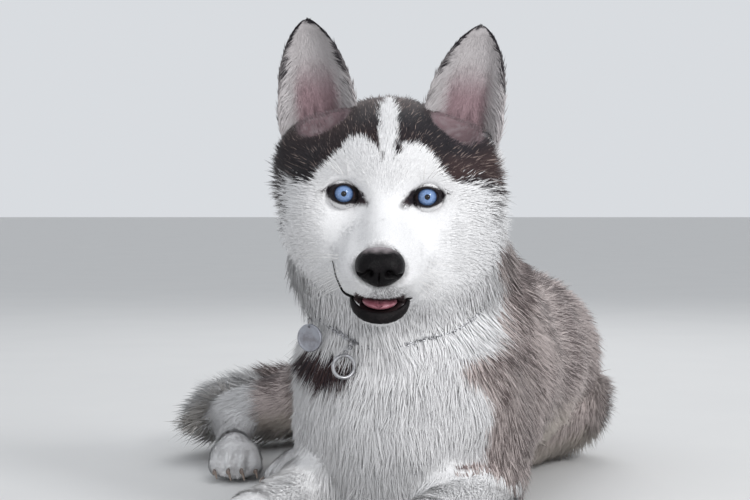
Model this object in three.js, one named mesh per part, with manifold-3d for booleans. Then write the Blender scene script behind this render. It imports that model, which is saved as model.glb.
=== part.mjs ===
// A siberian husky pup of about four months, lying on its chest with its hips
// rolled onto the left side. Millimetres, +Z up. The pup faces -Y, so its own
// left side is +X. Every solid reaches out to the tips of the coat.

import * as THREE from 'three';
import Module from 'manifold-3d';

const wasm = await Module();
wasm.setup();

// Driving dimensions
const EYE_HEIGHT = 235;
const EYE_SPACING = 58;
const EYEBALL_RADIUS = 10;
const HEAD_PITCH = THREE.MathUtils.degToRad(15);
const HEAD_ROLL = THREE.MathUtils.degToRad(2.3);
const HEAD_YAW = THREE.MathUtils.degToRad(2);
const HEAD_OFFSET = 7;
const TRUNK_TURN = THREE.MathUtils.degToRad(18);
const GAP = 0.3;
const CLAW_LENGTH = 9;
const TAG_RADIUS = 10;
const END_RING_RADIUS = 8;

const COLOURS = {
  white: 0xece9e4,
  grey: 0x978b89,
  leather: 0x1b1719,
  iris: 0x7f9fcb,
  tongue: 0xb0707c,
  inner_ear: 0xc79c9f,
  claw: 0x6f655e,
  steel: 0xb9bcc0,
};

const vector = (x, y, z) => new THREE.Vector3(x, y, z);

// Head space has its origin midway between the eyes, x to the pup's left,
// y towards the back of the skull and z up along the brow.
const headPlace = new THREE.Matrix4()
  .makeRotationFromEuler(new THREE.Euler(HEAD_PITCH, HEAD_ROLL, -HEAD_YAW, 'ZYX'))
  .setPosition(HEAD_OFFSET, 0, EYE_HEIGHT);
const headInverse = headPlace.clone().invert();
const fromHead = (x, y, z) => vector(x, y, z).applyMatrix4(headPlace);
const headSide = vector(1, 0, 0).transformDirection(headPlace);

// A form is a function that gives a point's distance outside the surface.
const form = (distance) => ({ distance });

function ellipsoid(centre, radii, turn = 0) {
  const [rx, ry, rz] = radii;
  const cos = Math.cos(turn);
  const sin = Math.sin(turn);
  return form((p) => {
    const dx = p.x - centre.x;
    const dy = p.y - centre.y;
    const dz = p.z - centre.z;
    const x = cos * dx - sin * dy;
    const y = sin * dx + cos * dy;
    const near = Math.hypot(x / rx, y / ry, dz / rz);
    const slope = Math.hypot(x / (rx * rx), y / (ry * ry), dz / (rz * rz));
    return slope < 1e-9 ? -Math.min(rx, ry, rz) : (near * (near - 1)) / slope;
  });
}

// A limb length: a straight taper between two balls.
function taper(from, to, fromRadius, toRadius) {
  const span = to.clone().sub(from);
  const length = span.length();
  const axis = span.clone().divideScalar(length);
  const lean = (fromRadius - toRadius) / length;
  const rise = Math.sqrt(Math.max(0, 1 - lean * lean));
  return form((p) => {
    const dx = p.x - from.x;
    const dy = p.y - from.y;
    const dz = p.z - from.z;
    const along = dx * axis.x + dy * axis.y + dz * axis.z;
    const out = Math.sqrt(Math.max(0, dx * dx + dy * dy + dz * dz - along * along));
    const slide = out * -lean + along * rise;
    if (slide < 0) return Math.hypot(out, along) - fromRadius;
    if (slide > rise * length) return Math.hypot(out, along - length) - toRadius;
    return out * rise + along * lean - fromRadius;
  });
}

// Joins forms with a fillet of the given size.
function blend(size, ...forms) {
  return form((p) => forms.reduce((nearest, next) => {
    const other = next.distance(p);
    const overlap = Math.max(size - Math.abs(nearest - other), 0) / size;
    return Math.min(nearest, other) - (overlap * overlap * size) / 4;
  }, 1e3));
}

// Sinks a hollow into a form, with a soft edge.
function hollow(size, body, cut) {
  return form((p) => {
    const inside = body.distance(p);
    const outside = -cut.distance(p);
    const overlap = Math.max(size - Math.abs(inside - outside), 0) / size;
    return Math.max(inside, outside) + (overlap * overlap * size) / 4;
  });
}

const inHeadSpace = (body) => form((p) => body.distance(p.clone().applyMatrix4(headInverse)));
const mirrored = (x, y, z, make) => [1, -1].map((hand) => make(vector(hand * x, y, z), hand));

// The head without its lower jaw, ears, eyes and nose leather
const skull = blend(22,
  ellipsoid(vector(0, 62, 8), [62, 66, 52]),
  ellipsoid(vector(0, 24, 11), [44, 30, 34]),
  ...mirrored(44, 38, -20, (centre) => ellipsoid(centre, [34, 44, 44])),
  ...mirrored(60, 60, 14, (centre) => ellipsoid(centre, [23, 27, 29])));
const muzzle = blend(10,
  taper(vector(0, -4, -30), vector(0, -54, -33), 25, 15),
  taper(vector(0, 2, -14), vector(0, -62, -25), 13, 8),
  ...mirrored(12.5, -48, -39, (centre) => ellipsoid(centre, [17, 21, 13])),
  ...mirrored(18, -24, -40, (centre) => ellipsoid(centre, [17, 24, 17])),
  ...mirrored(17, -22, -49, (centre) => ellipsoid(centre, [13, 19, 12])));
const browAndFace = blend(14, skull, muzzle);
const eyeHollows = mirrored(EYE_SPACING / 2 + 1, -9, 0, (centre) => ellipsoid(centre, [15, 13, 12]));
const headForm = inHeadSpace(eyeHollows.reduce((body, cut) => hollow(11, body, cut), browAndFace));

// Upper arms, from the point of the shoulder to the elbow
const ARMS = {
  right: { shoulder: vector(-20, 60, 108), elbow: vector(-30, 112, 32), radius: 32 },
  left: { shoulder: vector(60, 42, 108), elbow: vector(86, 88, 32), radius: 34 },
};

// Neck with its ruff, then the trunk, which runs back and to the pup's left
const neckForm = blend(30,
  ellipsoid(vector(15, 66, 184), [79, 66, 64]),
  ellipsoid(vector(24, 96, 205), [66, 66, 62]),
  ellipsoid(vector(60, 122, 168), [56, 60, 52]));
const trunkForm = blend(34,
  ellipsoid(vector(18, 62, 98), [72, 66, 76], TRUNK_TURN),
  ellipsoid(vector(20, 62, 46), [60, 62, 56], TRUNK_TURN),
  ellipsoid(vector(32, 108, 96), [78, 84, 101], TRUNK_TURN),
  ellipsoid(vector(50, 165, 104), [96, 104, 105], TRUNK_TURN),
  ellipsoid(vector(88, 268, 96), [90, 100, 88], TRUNK_TURN),
  ellipsoid(vector(117, 365, 92), [86, 92, 84], TRUNK_TURN),
  ...Object.values(ARMS).map(({ shoulder, elbow, radius }) => taper(shoulder, elbow, radius, 30)));
const torsoForm = blend(26, trunkForm, neckForm, headForm);

// A station is one section of a solid: the plane across the body, and the
// point in it from which the surface is seen all round.
function station(centre, up, side, tilt = 0) {
  const ahead = up.clone().cross(side).normalize();
  const upright = up.clone().normalize();
  return { centre, up: upright, side: ahead.clone().cross(upright), ahead, tilt };
}

// Sections between a row of points on the back line and one on the belly line
function sections(pairs, count, firstDepth = 0.5) {
  const backLine = new THREE.CatmullRomCurve3(pairs.map((pair) => pair.back));
  const bellyLine = new THREE.CatmullRomCurve3(pairs.map((pair) => pair.belly));
  const sideLine = new THREE.CatmullRomCurve3(pairs.map((pair) => pair.side));
  return Array.from({ length: count + 1 }, (_, index) => {
    const share = index / count;
    const back = backLine.getPoint(share);
    const belly = bellyLine.getPoint(share);
    const side = sideLine.getPoint(share).normalize();
    const depth = firstDepth + (0.5 - firstDepth) * share;
    return station(back.clone().lerp(belly, depth), back.clone().sub(belly), side);
  });
}

// Cones of sight from one point, which open from the nose to the first section
function faceSections(first, noseUp, angles) {
  return angles.map((angle) => {
    const up = noseUp.clone().lerp(first.up, angle / 90);
    return station(first.centre, up, first.side, THREE.MathUtils.degToRad(angle - 90));
  });
}

// Sections along a limb or tail, square to its curve
function limbSections(points, count) {
  const curve = new THREE.CatmullRomCurve3(points);
  return Array.from({ length: count + 1 }, (_, index) => {
    const ahead = curve.getTangent(index / count);
    const side = ahead.clone().cross(vector(0, 0, 1)).normalize();
    const up = side.clone().cross(ahead).normalize();
    return { centre: curve.getPoint(index / count), up, side, ahead };
  });
}

function reachTo(body, start, direction, grow) {
  const probe = start.clone();
  const step = 2;
  const limit = 190;
  const clear = (length) => body.distance(probe.copy(start).addScaledVector(direction, length)) - grow;
  let far = 0;
  while (far < limit && clear(far) < 0) far += step;
  let near = Math.max(far - step, 0.4);
  for (let pass = 0; pass < 14; pass += 1) {
    const middle = (near + far) / 2;
    if (clear(middle) < 0) near = middle;
    else far = middle;
  }
  return start.clone().addScaledVector(direction, Math.max(near, 0.4));
}

// Draws a closed surface over a form. An end is flat, or round with a number
// of extra rings. A flat end stops half a gap short of the shared plane.
function wrap(body, rows, sides, { first = 0, last = 0, grow = 0, pointed = false } = {}) {
  const rings = [];
  const addRing = (row, tilt, shift) => {
    const start = row.centre.clone().addScaledVector(row.ahead, shift);
    const ring = Array.from({ length: sides }, (_, index) => {
      const angle = (2 * Math.PI * index) / sides;
      const direction = row.side.clone().multiplyScalar(Math.cos(angle) * Math.cos(tilt))
        .addScaledVector(row.up, Math.sin(angle) * Math.cos(tilt))
        .addScaledVector(row.ahead, Math.sin(tilt));
      return reachTo(body, start, direction, grow);
    });
    rings.push(ring);
  };
  const head = rows[0];
  const tail = rows[rows.length - 1];
  const endShift = GAP / 2;
  for (let ring = first; ring >= 1; ring -= 1) addRing(head, (-Math.PI / 2) * (ring / (first + 1)), 0);
  rows.forEach((row, index) => {
    const flatStart = index === 0 && first === 0 && !pointed;
    const flatEnd = index === rows.length - 1 && last === 0;
    addRing(row, row.tilt ?? 0, (flatStart ? endShift : 0) - (flatEnd ? endShift : 0));
  });
  for (let ring = 1; ring <= last; ring += 1) addRing(tail, (Math.PI / 2) * (ring / (last + 1)), 0);
  const startPole = first > 0 || pointed
    ? reachTo(body, head.centre, head.ahead.clone().negate(), grow)
    : head.centre.clone().addScaledVector(head.ahead, endShift);
  const endPole = last > 0
    ? reachTo(body, tail.centre, tail.ahead, grow)
    : tail.centre.clone().addScaledVector(tail.ahead, -endShift);
  return ringsToSolid(rings, startPole, endPole);
}

// Joins rings of points, with a point at each end, to one closed solid.
function ringsToSolid(rings, startPole, endPole) {
  const sides = rings[0].length;
  const positions = [...rings.flat(), startPole, endPole].flatMap((point) => point.toArray());
  const triangles = [];
  const at = (ring, index) => ring * sides + (index % sides);
  for (let ring = 0; ring < rings.length - 1; ring += 1) {
    for (let index = 0; index < sides; index += 1) {
      const corners = [at(ring, index), at(ring, index + 1), at(ring + 1, index + 1), at(ring + 1, index)];
      triangles.push(corners[0], corners[1], corners[2], corners[0], corners[2], corners[3]);
    }
  }
  const startIndex = rings.length * sides;
  const lastRing = rings.length - 1;
  for (let index = 0; index < sides; index += 1) {
    triangles.push(startIndex, at(0, index + 1), at(0, index));
    triangles.push(startIndex + 1, at(lastRing, index), at(lastRing, index + 1));
  }
  return toSolid(positions, triangles);
}

// Joins rings of points to a closed hoop, with no ends.
function hoopToSolid(rings) {
  const sides = rings[0].length;
  const positions = rings.flat().flatMap((point) => point.toArray());
  const triangles = [];
  const at = (ring, index) => (ring % rings.length) * sides + (index % sides);
  for (let ring = 0; ring < rings.length; ring += 1) {
    for (let index = 0; index < sides; index += 1) {
      const corners = [at(ring, index), at(ring, index + 1), at(ring + 1, index + 1), at(ring + 1, index)];
      triangles.push(corners[0], corners[1], corners[2], corners[0], corners[2], corners[3]);
    }
  }
  return toSolid(positions, triangles);
}

function toSolid(positions, triangles) {
  let volume = 0;
  const corner = (index) => vector(...positions.slice(3 * index, 3 * index + 3));
  for (let face = 0; face < triangles.length; face += 3) {
    const [a, b, c] = [0, 1, 2].map((step) => corner(triangles[face + step]));
    volume += a.dot(b.cross(c));
  }
  if (volume < 0) triangles.reverse();
  return new wasm.Manifold(new wasm.Mesh({
    numProp: 3,
    vertProperties: new Float32Array(positions),
    triVerts: new Uint32Array(triangles),
  }));
}

function fromGeometry(geometry) {
  const positions = [];
  const lookup = new Map();
  const source = geometry.toNonIndexed().attributes.position;
  const triangles = [];
  for (let index = 0; index < source.count; index += 1) {
    const point = [source.getX(index), source.getY(index), source.getZ(index)];
    const key = point.map((value) => value.toFixed(4)).join();
    if (!lookup.has(key)) {
      lookup.set(key, positions.length / 3);
      positions.push(...point);
    }
    triangles.push(lookup.get(key));
  }
  const kept = [];
  for (let face = 0; face < triangles.length; face += 3) {
    const [a, b, c] = triangles.slice(face, face + 3);
    if (a !== b && b !== c && a !== c) kept.push(a, b, c);
  }
  return toSolid(positions, kept);
}

const model = new THREE.Group();

// Keeps the largest body of a cut solid and adds it as a named mesh.
function addPart(name, solid, colour, roughness = 0.9, metalness = 0) {
  const pieces = solid.decompose();
  const volume = (piece) => Math.abs(piece.volume ? piece.volume() : piece.getProperties().volume);
  const kept = pieces.reduce((largest, piece) => (volume(piece) > volume(largest) ? piece : largest));
  const { vertProperties, triVerts, numProp } = kept.getMesh();
  const geometry = new THREE.BufferGeometry();
  const positions = new Float32Array((vertProperties.length / numProp) * 3);
  for (let index = 0; index < positions.length / 3; index += 1) {
    positions.set(vertProperties.slice(index * numProp, index * numProp + 3), index * 3);
  }
  geometry.setAttribute('position', new THREE.BufferAttribute(positions, 3));
  geometry.setIndex(new THREE.BufferAttribute(new Uint32Array(triVerts), 1));
  geometry.computeVertexNormals();
  const mesh = new THREE.Mesh(geometry, new THREE.MeshStandardMaterial({ color: colour, roughness, metalness }));
  mesh.name = name;
  model.add(mesh);
}

const without = (solid, cutters) => cutters.reduce((rest, cutter) => rest.subtract(cutter), solid);

// All that lies on the ground is cut level at Z 0.
const groundBox = fromGeometry(new THREE.BoxGeometry(1400, 1400, 200).translate(0, 0, -100));

// Section planes, from the crown to the rump
const headPairs = [[112, 52, -40, -90], [124, 26, -38, -92]].map(([backY, backZ, bellyY, bellyZ]) => ({
  back: fromHead(0, backY, backZ), belly: fromHead(0, bellyY, bellyZ), side: headSide,
}));
const shoulderSide = vector(Math.cos(TRUNK_TURN / 2), -Math.sin(TRUNK_TURN / 2), 0);
const trunkSide = vector(Math.cos(TRUNK_TURN), -Math.sin(TRUNK_TURN), 0);
const nape = headPairs[headPairs.length - 1];
const withers = { back: vector(34, 168, 212), belly: vector(16, -22, 121), side: shoulderSide };
const neckPairs = [nape, { back: vector(26, 146, 252), belly: vector(14, -18, 130), side: shoulderSide }, withers];
const behindElbows = { back: vector(62, 200, 208), belly: vector(58, 190, 0), side: trunkSide };
const chestPairs = [
  withers,
  { back: vector(40, 176, 211), belly: vector(16, -14, 78), side: shoulderSide },
  { back: vector(46, 184, 210), belly: vector(22, 40, 22), side: trunkSide },
  { back: vector(54, 192, 209), belly: vector(38, 112, 2), side: trunkSide },
  behindElbows,
];
const loins = { back: vector(92, 300, 184), belly: vector(90, 292, 10), side: trunkSide };
const barrelPairs = [behindElbows, { back: vector(77, 250, 196), belly: vector(74, 242, 4), side: trunkSide }, loins];
const rump = { back: vector(122, 398, 168), belly: vector(120, 390, 14), side: trunkSide };

const crownRows = sections(headPairs, 2, 0.47);
const noseUp = vector(0, -0.11, 1).transformDirection(headPlace);
const faceAngles = [5, 10, 14.5, 19.5, 25, 31, 37, 43, 50, 58, 66, 74, 82];
const headRows = [...faceSections(crownRows[0], noseUp, faceAngles), ...crownRows];
const neckRows = sections(neckPairs, 5);
const chestRows = sections(chestPairs, 7);
const barrelRows = sections(barrelPairs, 4);
const hipRows = sections([loins, rump], 4);

const BODY_SIDES = 28;
const torsoRows = [...headRows, ...neckRows.slice(1), ...chestRows.slice(1), ...barrelRows.slice(1), ...hipRows.slice(1)];
const torsoClear = wrap(torsoForm, torsoRows, BODY_SIDES, { pointed: true, last: 4, grow: GAP });

// Eyes, nose leather and tongue
const eyeCentres = mirrored(EYE_SPACING / 2, 7, 0, (centre) => fromHead(...centre.toArray()));
const eyeBall = (centre, radius) => fromGeometry(
  new THREE.SphereGeometry(radius, 11, 8).translate(centre.x, centre.y, centre.z));
const eyeSockets = eyeCentres.map((centre) => eyeBall(centre, EYEBALL_RADIUS + 2 * GAP));

const noseForm = inHeadSpace(blend(6,
  ellipsoid(vector(0, -63, -27), [13, 12, 10]),
  ...mirrored(8, -64, -30, (centre) => ellipsoid(centre, [8, 12, 9])),
  ellipsoid(vector(0, -67, -36), [6, 7, 7])));
const noseRows = sections([
  { back: fromHead(0, -73, -18), belly: fromHead(0, -73, -42), side: headSide },
  { back: fromHead(0, -58, -18), belly: fromHead(0, -58, -42), side: headSide },
], 3);
const noseOptions = { first: 3, last: 2 };
const nose = wrap(noseForm, noseRows, 12, noseOptions);
const noseClear = wrap(noseForm, noseRows, 12, { ...noseOptions, grow: GAP });

// Lower jaw, dropped a little so that the mouth stands open
const jawForm = inHeadSpace(blend(8,
  taper(vector(0, -16, -61), vector(0, -48, -65.5), 18, 11),
  ellipsoid(vector(0, -46, -68), [18.5, 17, 8]),
  ...mirrored(10, -10, -60, (centre) => ellipsoid(centre, [16, 22, 15]))));
const jawRows = sections([
  { back: fromHead(0, -52, -58), belly: fromHead(0, -48, -76), side: headSide },
  { back: fromHead(0, -8, -52), belly: fromHead(0, -8, -78), side: headSide },
], 6);
const mouthForm = inHeadSpace(ellipsoid(vector(0, -42, -59), [17.5, 30, 4.8]));
const mouthRows = sections([
  { back: fromHead(0, -64, -56), belly: fromHead(0, -64, -62), side: headSide },
  { back: fromHead(0, -18, -56), belly: fromHead(0, -18, -62), side: headSide },
], 4);
const mouthGap = wrap(mouthForm, mouthRows, 12, { first: 2, last: 1 });
const jaw = wrap(jawForm, jawRows, 16, { first: 3, last: 1 });
const tongueForm = inHeadSpace(ellipsoid(vector(0, -36, -60.4), [12.5, 19, 2.9]));
const tongue = wrap(tongueForm, mouthRows, 10, { first: 2, last: 1 });

// Collar: a hoop in the plane between neck and chest. It lies in the coat and
// comes out of it at the front, to the pup's right.
const COLLAR_WIRE = 3;
const COLLAR_DEPTH = 11;
const collarRow = neckRows[neckRows.length - 1];
const collarSteps = 28;
const collarSpokes = Array.from({ length: collarSteps }, (_, index) => {
  const angle = (2 * Math.PI * index) / collarSteps;
  const direction = collarRow.side.clone().multiplyScalar(Math.cos(angle))
    .addScaledVector(collarRow.up, Math.sin(angle));
  const coat = reachTo(torsoForm, collarRow.centre, direction, 0).distanceTo(collarRow.centre);
  const open = Math.exp(-(((angle - 1.42 * Math.PI) / 0.3) ** 2));
  return { direction, coat, radius: coat - COLLAR_DEPTH + (COLLAR_DEPTH + COLLAR_WIRE + 1) * open };
});
const collarPoint = (spoke, radius, rise) => collarRow.centre.clone()
  .addScaledVector(spoke.direction, radius).addScaledVector(collarRow.ahead, rise);
const collar = hoopToSolid(collarSpokes.map((spoke) => Array.from({ length: 5 }, (_, index) => {
  const angle = (2 * Math.PI * index) / 5;
  return collarPoint(spoke, spoke.radius + COLLAR_WIRE * Math.cos(angle), COLLAR_WIRE * Math.sin(angle));
})));
const collarGroove = hoopToSolid(collarSpokes.map((spoke) => {
  const floor = Math.min(spoke.radius, spoke.coat) - COLLAR_WIRE - 1;
  const rim = spoke.coat + 14;
  const half = COLLAR_WIRE + 1;
  return [[floor, -half], [floor, half], [rim, half + 3], [rim, -half - 3]]
    .map(([radius, rise]) => collarPoint(spoke, radius, rise));
}));

addPart('head', without(
  wrap(torsoForm, headRows, BODY_SIDES, { pointed: true }),
  [...eyeSockets, noseClear, mouthGap, collarGroove]), COLOURS.white);
addPart('neck', without(wrap(torsoForm, neckRows, BODY_SIDES), [collarGroove]), COLOURS.white);
// The upper arms are marked off from the chest by a grown copy of each.
const ARM_COAT = 13;
const armRegion = ({ shoulder, elbow, radius }, grow) => wrap(
  taper(shoulder, elbow, radius + ARM_COAT, 30 + ARM_COAT), limbSections([shoulder, elbow], 2), 12, { first: 2, last: 2, grow });
const chestWhole = without(wrap(torsoForm, chestRows, BODY_SIDES), [collarGroove, groundBox]);
addPart('chest', without(chestWhole, Object.values(ARMS).map((arm) => armRegion(arm, GAP))), COLOURS.white);
Object.entries(ARMS).forEach(([hand, arm], index, arms) => {
  const earlier = arms.slice(0, index).map(([, other]) => armRegion(other, GAP));
  addPart(`upper_arm_${hand}`, without(chestWhole.intersect(armRegion(arm, 0)), earlier), COLOURS.white);
});
addPart('barrel', without(wrap(torsoForm, barrelRows, BODY_SIDES), [groundBox]), COLOURS.grey);
addPart('hips', without(wrap(torsoForm, hipRows, BODY_SIDES, { last: 4 }), [groundBox]), COLOURS.grey);
addPart('lower_jaw', without(jaw, [torsoClear, mouthGap]), COLOURS.white);
addPart('tongue', tongue, COLOURS.tongue, 0.5);
addPart('nose', nose, COLOURS.leather, 0.45);
['left', 'right'].forEach((hand, index) => {
  addPart(`eye_${hand}`, eyeBall(eyeCentres[index], EYEBALL_RADIUS), COLOURS.iris, 0.1);
});
addPart('collar', collar, COLOURS.steel, 0.3, 1);

// Ears: upright cups that open forwards, drawn as crescent sections
const EAR_LENGTH = 92;
function earSolid(hand) {
  const rings = 8;
  const across = 6;
  const earRing = (share) => {
    const half = 30.5 * (1 - share ** 2.5) ** 0.75 * (0.86 + 0.14 * Math.min(1, share / 0.22));
    const cup = 24 * (1 - share) ** 0.75 * Math.min(1, half / 14);
    const wall = 2.4 + 3.6 * (1 - share);
    const middle = vector(49 + 13 * share ** 1.2, 52 + 24 * share, 18 + EAR_LENGTH * share);
    const edge = (spread, depth) => {
      const x = half * spread;
      const y = depth;
      const swing = 0.16;
      return fromHead(
        hand * (middle.x + x * Math.cos(swing) + y * Math.sin(swing) * 0.3),
        middle.y + x * Math.sin(swing) + y,
        middle.z - 5 * spread * (1 - share));
    };
    const spreads = Array.from({ length: across + 1 }, (_, index) => (2 * index) / across - 1);
    const front = spreads.map((spread) => edge(spread, cup * (1 - spread * spread)));
    const rear = spreads.map((spread) => edge(spread, cup * (1 - spread * spread)
      + 2 + wall * Math.sqrt(Math.max(0, 1 - spread * spread)))).reverse();
    return [...front, ...rear];
  };
  const shares = Array.from({ length: rings + 1 }, (_, index) => 0.985 * (index / rings) ** 0.85);
  const base = fromHead(hand * 50, 62, 17);
  const tip = fromHead(hand * 62, 78, 18 + EAR_LENGTH + 0.5);
  return ringsToSolid(shares.map(earRing), base, tip);
}
addPart('ear_left', without(earSolid(1), [torsoClear]), COLOURS.inner_ear);
addPart('ear_right', without(earSolid(-1), [torsoClear]), COLOURS.inner_ear);

// A limb piece is cut by the pieces before it, and leaves a grown copy of
// itself to cut the pieces after it.
const placed = [torsoClear];
function addLimb(name, body, points, { count, sides, colour, first = 2, last = 2 }) {
  const rows = limbSections(points, count);
  const solid = without(wrap(body, rows, sides, { first, last }), [...placed, groundBox]);
  placed.push(wrap(body, rows, sides, { first, last, grow: GAP }));
  addPart(name, solid, colour);
}

// A paw: a pad on the ground with four toes that fan a little
function pawForm(wrist, heading, { wristRadius, length, spread, toeRadius }) {
  const side = vector(-heading.y, heading.x, 0);
  const place = (ahead, across, height) => wrist.clone().setZ(height)
    .addScaledVector(heading, ahead).addScaledVector(side, across);
  const toes = [-1.5, -0.5, 0.5, 1.5].map((slot) => {
    const outer = Math.abs(slot) > 1;
    const root = place(length * 0.42, slot * spread * 0.8, toeRadius + 9);
    const tip = place(length * (outer ? 0.76 : 0.88), slot * spread, toeRadius - 0.8);
    return taper(root, tip, toeRadius + 1, toeRadius);
  });
  const palm = taper(wrist, place(length * 0.42, 0, toeRadius + 7), wristRadius, wristRadius - 1);
  return blend(5, blend(12, palm, ellipsoid(place(length * 0.45, 0, 12), [20, 20, 13])), ...toes);
}

function addPaw(name, clawName, wrist, heading, sizes, colour) {
  const { length, spread, toeRadius } = sizes;
  const tip = wrist.clone().setZ(toeRadius + 3).addScaledVector(heading, length * 0.78);
  addLimb(name, pawForm(wrist, heading, sizes), [wrist, tip],
    { count: 4, sides: 14, colour, first: 1, last: 2 });
  const side = vector(-heading.y, heading.x, 0);
  [-1.5, -0.5, 0.5, 1.5].forEach((slot, index) => {
    const outer = Math.abs(slot) > 1;
    const root = wrist.clone().setZ(toeRadius + 1)
      .addScaledVector(heading, length * (outer ? 0.76 : 0.88) + toeRadius - 5)
      .addScaledVector(side, slot * spread);
    const point = root.clone().addScaledVector(heading, CLAW_LENGTH).setZ(4);
    const middle = root.clone().lerp(point, 0.5).add(vector(0, 0, 1.6));
    const rows = limbSections([root, middle, point], 2);
    const radii = [2.6, 2.1, 0.8];
    const rings = rows.map((row, ring) => Array.from({ length: 4 }, (_, step) => {
      const angle = (Math.PI * step) / 2;
      return row.centre.clone().addScaledVector(row.side, 0.75 * radii[ring] * Math.cos(angle))
        .addScaledVector(row.up, radii[ring] * Math.sin(angle));
    }));
    const claw = ringsToSolid(rings, root, point.clone().addScaledVector(heading, 0.6));
    addPart(`${clawName}_${index + 1}`, without(claw, placed), COLOURS.claw, 0.4);
  });
}

const FORE_PAW = { wristRadius: 20, length: 92, spread: 12, toeRadius: 11 };
const HIND_PAW = { wristRadius: 18, length: 84, spread: 11, toeRadius: 10.5 };

function addForeleg(hand, wrist, heading) {
  const elbow = ARMS[hand].elbow.clone().setZ(28);
  const muscle = elbow.clone().lerp(wrist, 0.25).setZ(elbow.z + 3);
  addLimb(`forearm_${hand}`, blend(12, taper(elbow, wrist, 26, 20), taper(elbow, muscle, 28, 26)),
    [elbow, wrist], { count: 4, sides: 12, colour: COLOURS.white });
  addPaw(`forepaw_${hand}`, `claw_fore_${hand}`, wrist, heading, FORE_PAW, COLOURS.white);
}

addForeleg('right', vector(-80, -18, 21), vector(-0.33, -0.944, 0));
addForeleg('left', vector(36, -46, 21), vector(-0.31, -0.951, 0));

function addHindLeg(hand, { hip, knee, hock, heading, thighRadius, ankleLength }) {
  addLimb(`thigh_${hand}`, taper(hip, knee, thighRadius, 40), [hip, knee],
    { count: 3, sides: 14, colour: COLOURS.grey, first: 2, last: 2 });
  addLimb(`shin_${hand}`, taper(knee, hock, 35, 21), [knee, hock],
    { count: 3, sides: 12, colour: COLOURS.grey });
  const ankle = hock.clone().addScaledVector(heading, ankleLength).setZ(20);
  addLimb(`hind_foot_${hand}`, blend(8, taper(hock, ankle, 20, 18)), [hock, ankle],
    { count: 3, sides: 12, colour: COLOURS.white, first: 1, last: 1 });
  addPaw(`hindpaw_${hand}`, `claw_hind_${hand}`, ankle, heading, HIND_PAW, COLOURS.white);
}

addHindLeg('left', {
  hip: vector(158, 374, 54), knee: vector(96, 262, 40), hock: vector(-22, 296, 24),
  heading: vector(-0.45, -0.893, 0), thighRadius: 56, ankleLength: 46,
});
addHindLeg('right', {
  hip: vector(78, 366, 104), knee: vector(-30, 286, 70), hock: vector(-128, 360, 44),
  heading: vector(0.1, -0.995, 0), thighRadius: 60, ankleLength: 52,
});

// Tail, laid on the ground round the right hind foot
const tailPoints = [
  vector(132, 430, 86), vector(104, 478, 56), vector(30, 492, 40), vector(-60, 470, 38),
  vector(-130, 420, 40), vector(-158, 360, 34),
];
const tailCurve = new THREE.CatmullRomCurve3(tailPoints);
const tailRadius = (share) => 24 + 10 * Math.sin(Math.PI * Math.min(1, share * 0.95 + 0.02)) - 12 * share ** 5;
const tailForm = blend(16, ...Array.from({ length: 12 }, (_, index) => {
  const [from, to] = [index / 12, (index + 1) / 12];
  return taper(tailCurve.getPoint(from), tailCurve.getPoint(to), tailRadius(from), tailRadius(to));
}));
const TAIL_ROWS = 4;
const tailRows = limbSections(tailPoints, 3 * TAIL_ROWS);
['root', 'middle', 'tip'].forEach((length, index) => {
  const rows = tailRows.slice(index * TAIL_ROWS, (index + 1) * TAIL_ROWS + 1);
  const solid = wrap(tailForm, rows, 14, { first: index === 0 ? 2 : 0, last: index === 2 ? 4 : 0 });
  addPart(`tail_${length}`, without(solid, [...placed, groundBox]), COLOURS.grey);
});

// The end ring of the collar and the tag hang in front of the coat.
const coatAt = (x, z) => reachTo(torsoForm, vector(x, 70, z), vector(0, -1, 0), 0);
const ringCentre = coatAt(-21, 118).add(vector(0, -3, 0));
const endRing = fromGeometry(new THREE.TorusGeometry(END_RING_RADIUS, 1.5, 5, 16)
  .rotateX(Math.PI / 2).rotateZ(0.35).translate(ringCentre.x, ringCentre.y, ringCentre.z));
addPart('collar_end_ring', without(endRing, [torsoClear]), COLOURS.steel, 0.3, 1);
const tagProfile = [[0, -1], [TAG_RADIUS - 0.6, -1], [TAG_RADIUS, -0.5], [TAG_RADIUS, 0.5], [TAG_RADIUS - 0.6, 1], [0, 1]]
  .map(([radius, height]) => new THREE.Vector2(radius, height));
const tag = fromGeometry(new THREE.LatheGeometry(tagProfile, 20)
  .rotateZ(-0.5).translate(...coatAt(-45, 136).add(vector(-1, -2, 0)).toArray()));
addPart('tag', without(tag, [torsoClear]), COLOURS.steel, 0.4, 0.8);

// The origin is under the middle of the whole pup.
const bounds = new THREE.Box3().setFromObject(model);
const middle = bounds.getCenter(vector(0, 0, 0));
model.position.set(-middle.x, -middle.y, 0);

export default model;
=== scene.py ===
# A siberian husky pup of about four months, lying down, life size.
import math

import bpy
import numpy as np
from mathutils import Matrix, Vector
from mathutils.bvhtree import BVHTree


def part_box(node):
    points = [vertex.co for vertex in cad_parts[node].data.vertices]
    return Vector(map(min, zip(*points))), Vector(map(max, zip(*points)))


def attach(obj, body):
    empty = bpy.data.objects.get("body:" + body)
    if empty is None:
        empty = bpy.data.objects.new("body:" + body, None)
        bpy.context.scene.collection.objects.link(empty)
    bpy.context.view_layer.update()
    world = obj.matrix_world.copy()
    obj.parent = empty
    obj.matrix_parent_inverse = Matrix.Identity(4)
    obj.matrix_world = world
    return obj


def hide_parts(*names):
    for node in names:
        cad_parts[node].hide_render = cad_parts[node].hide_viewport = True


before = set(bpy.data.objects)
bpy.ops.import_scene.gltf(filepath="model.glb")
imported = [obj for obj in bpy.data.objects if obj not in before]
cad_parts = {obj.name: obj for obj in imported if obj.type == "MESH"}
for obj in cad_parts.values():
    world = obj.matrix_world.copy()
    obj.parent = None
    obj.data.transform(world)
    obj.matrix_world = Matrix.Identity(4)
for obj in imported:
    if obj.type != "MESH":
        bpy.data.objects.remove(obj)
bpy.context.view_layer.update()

MM = 0.001
BODY = "root"
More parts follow.
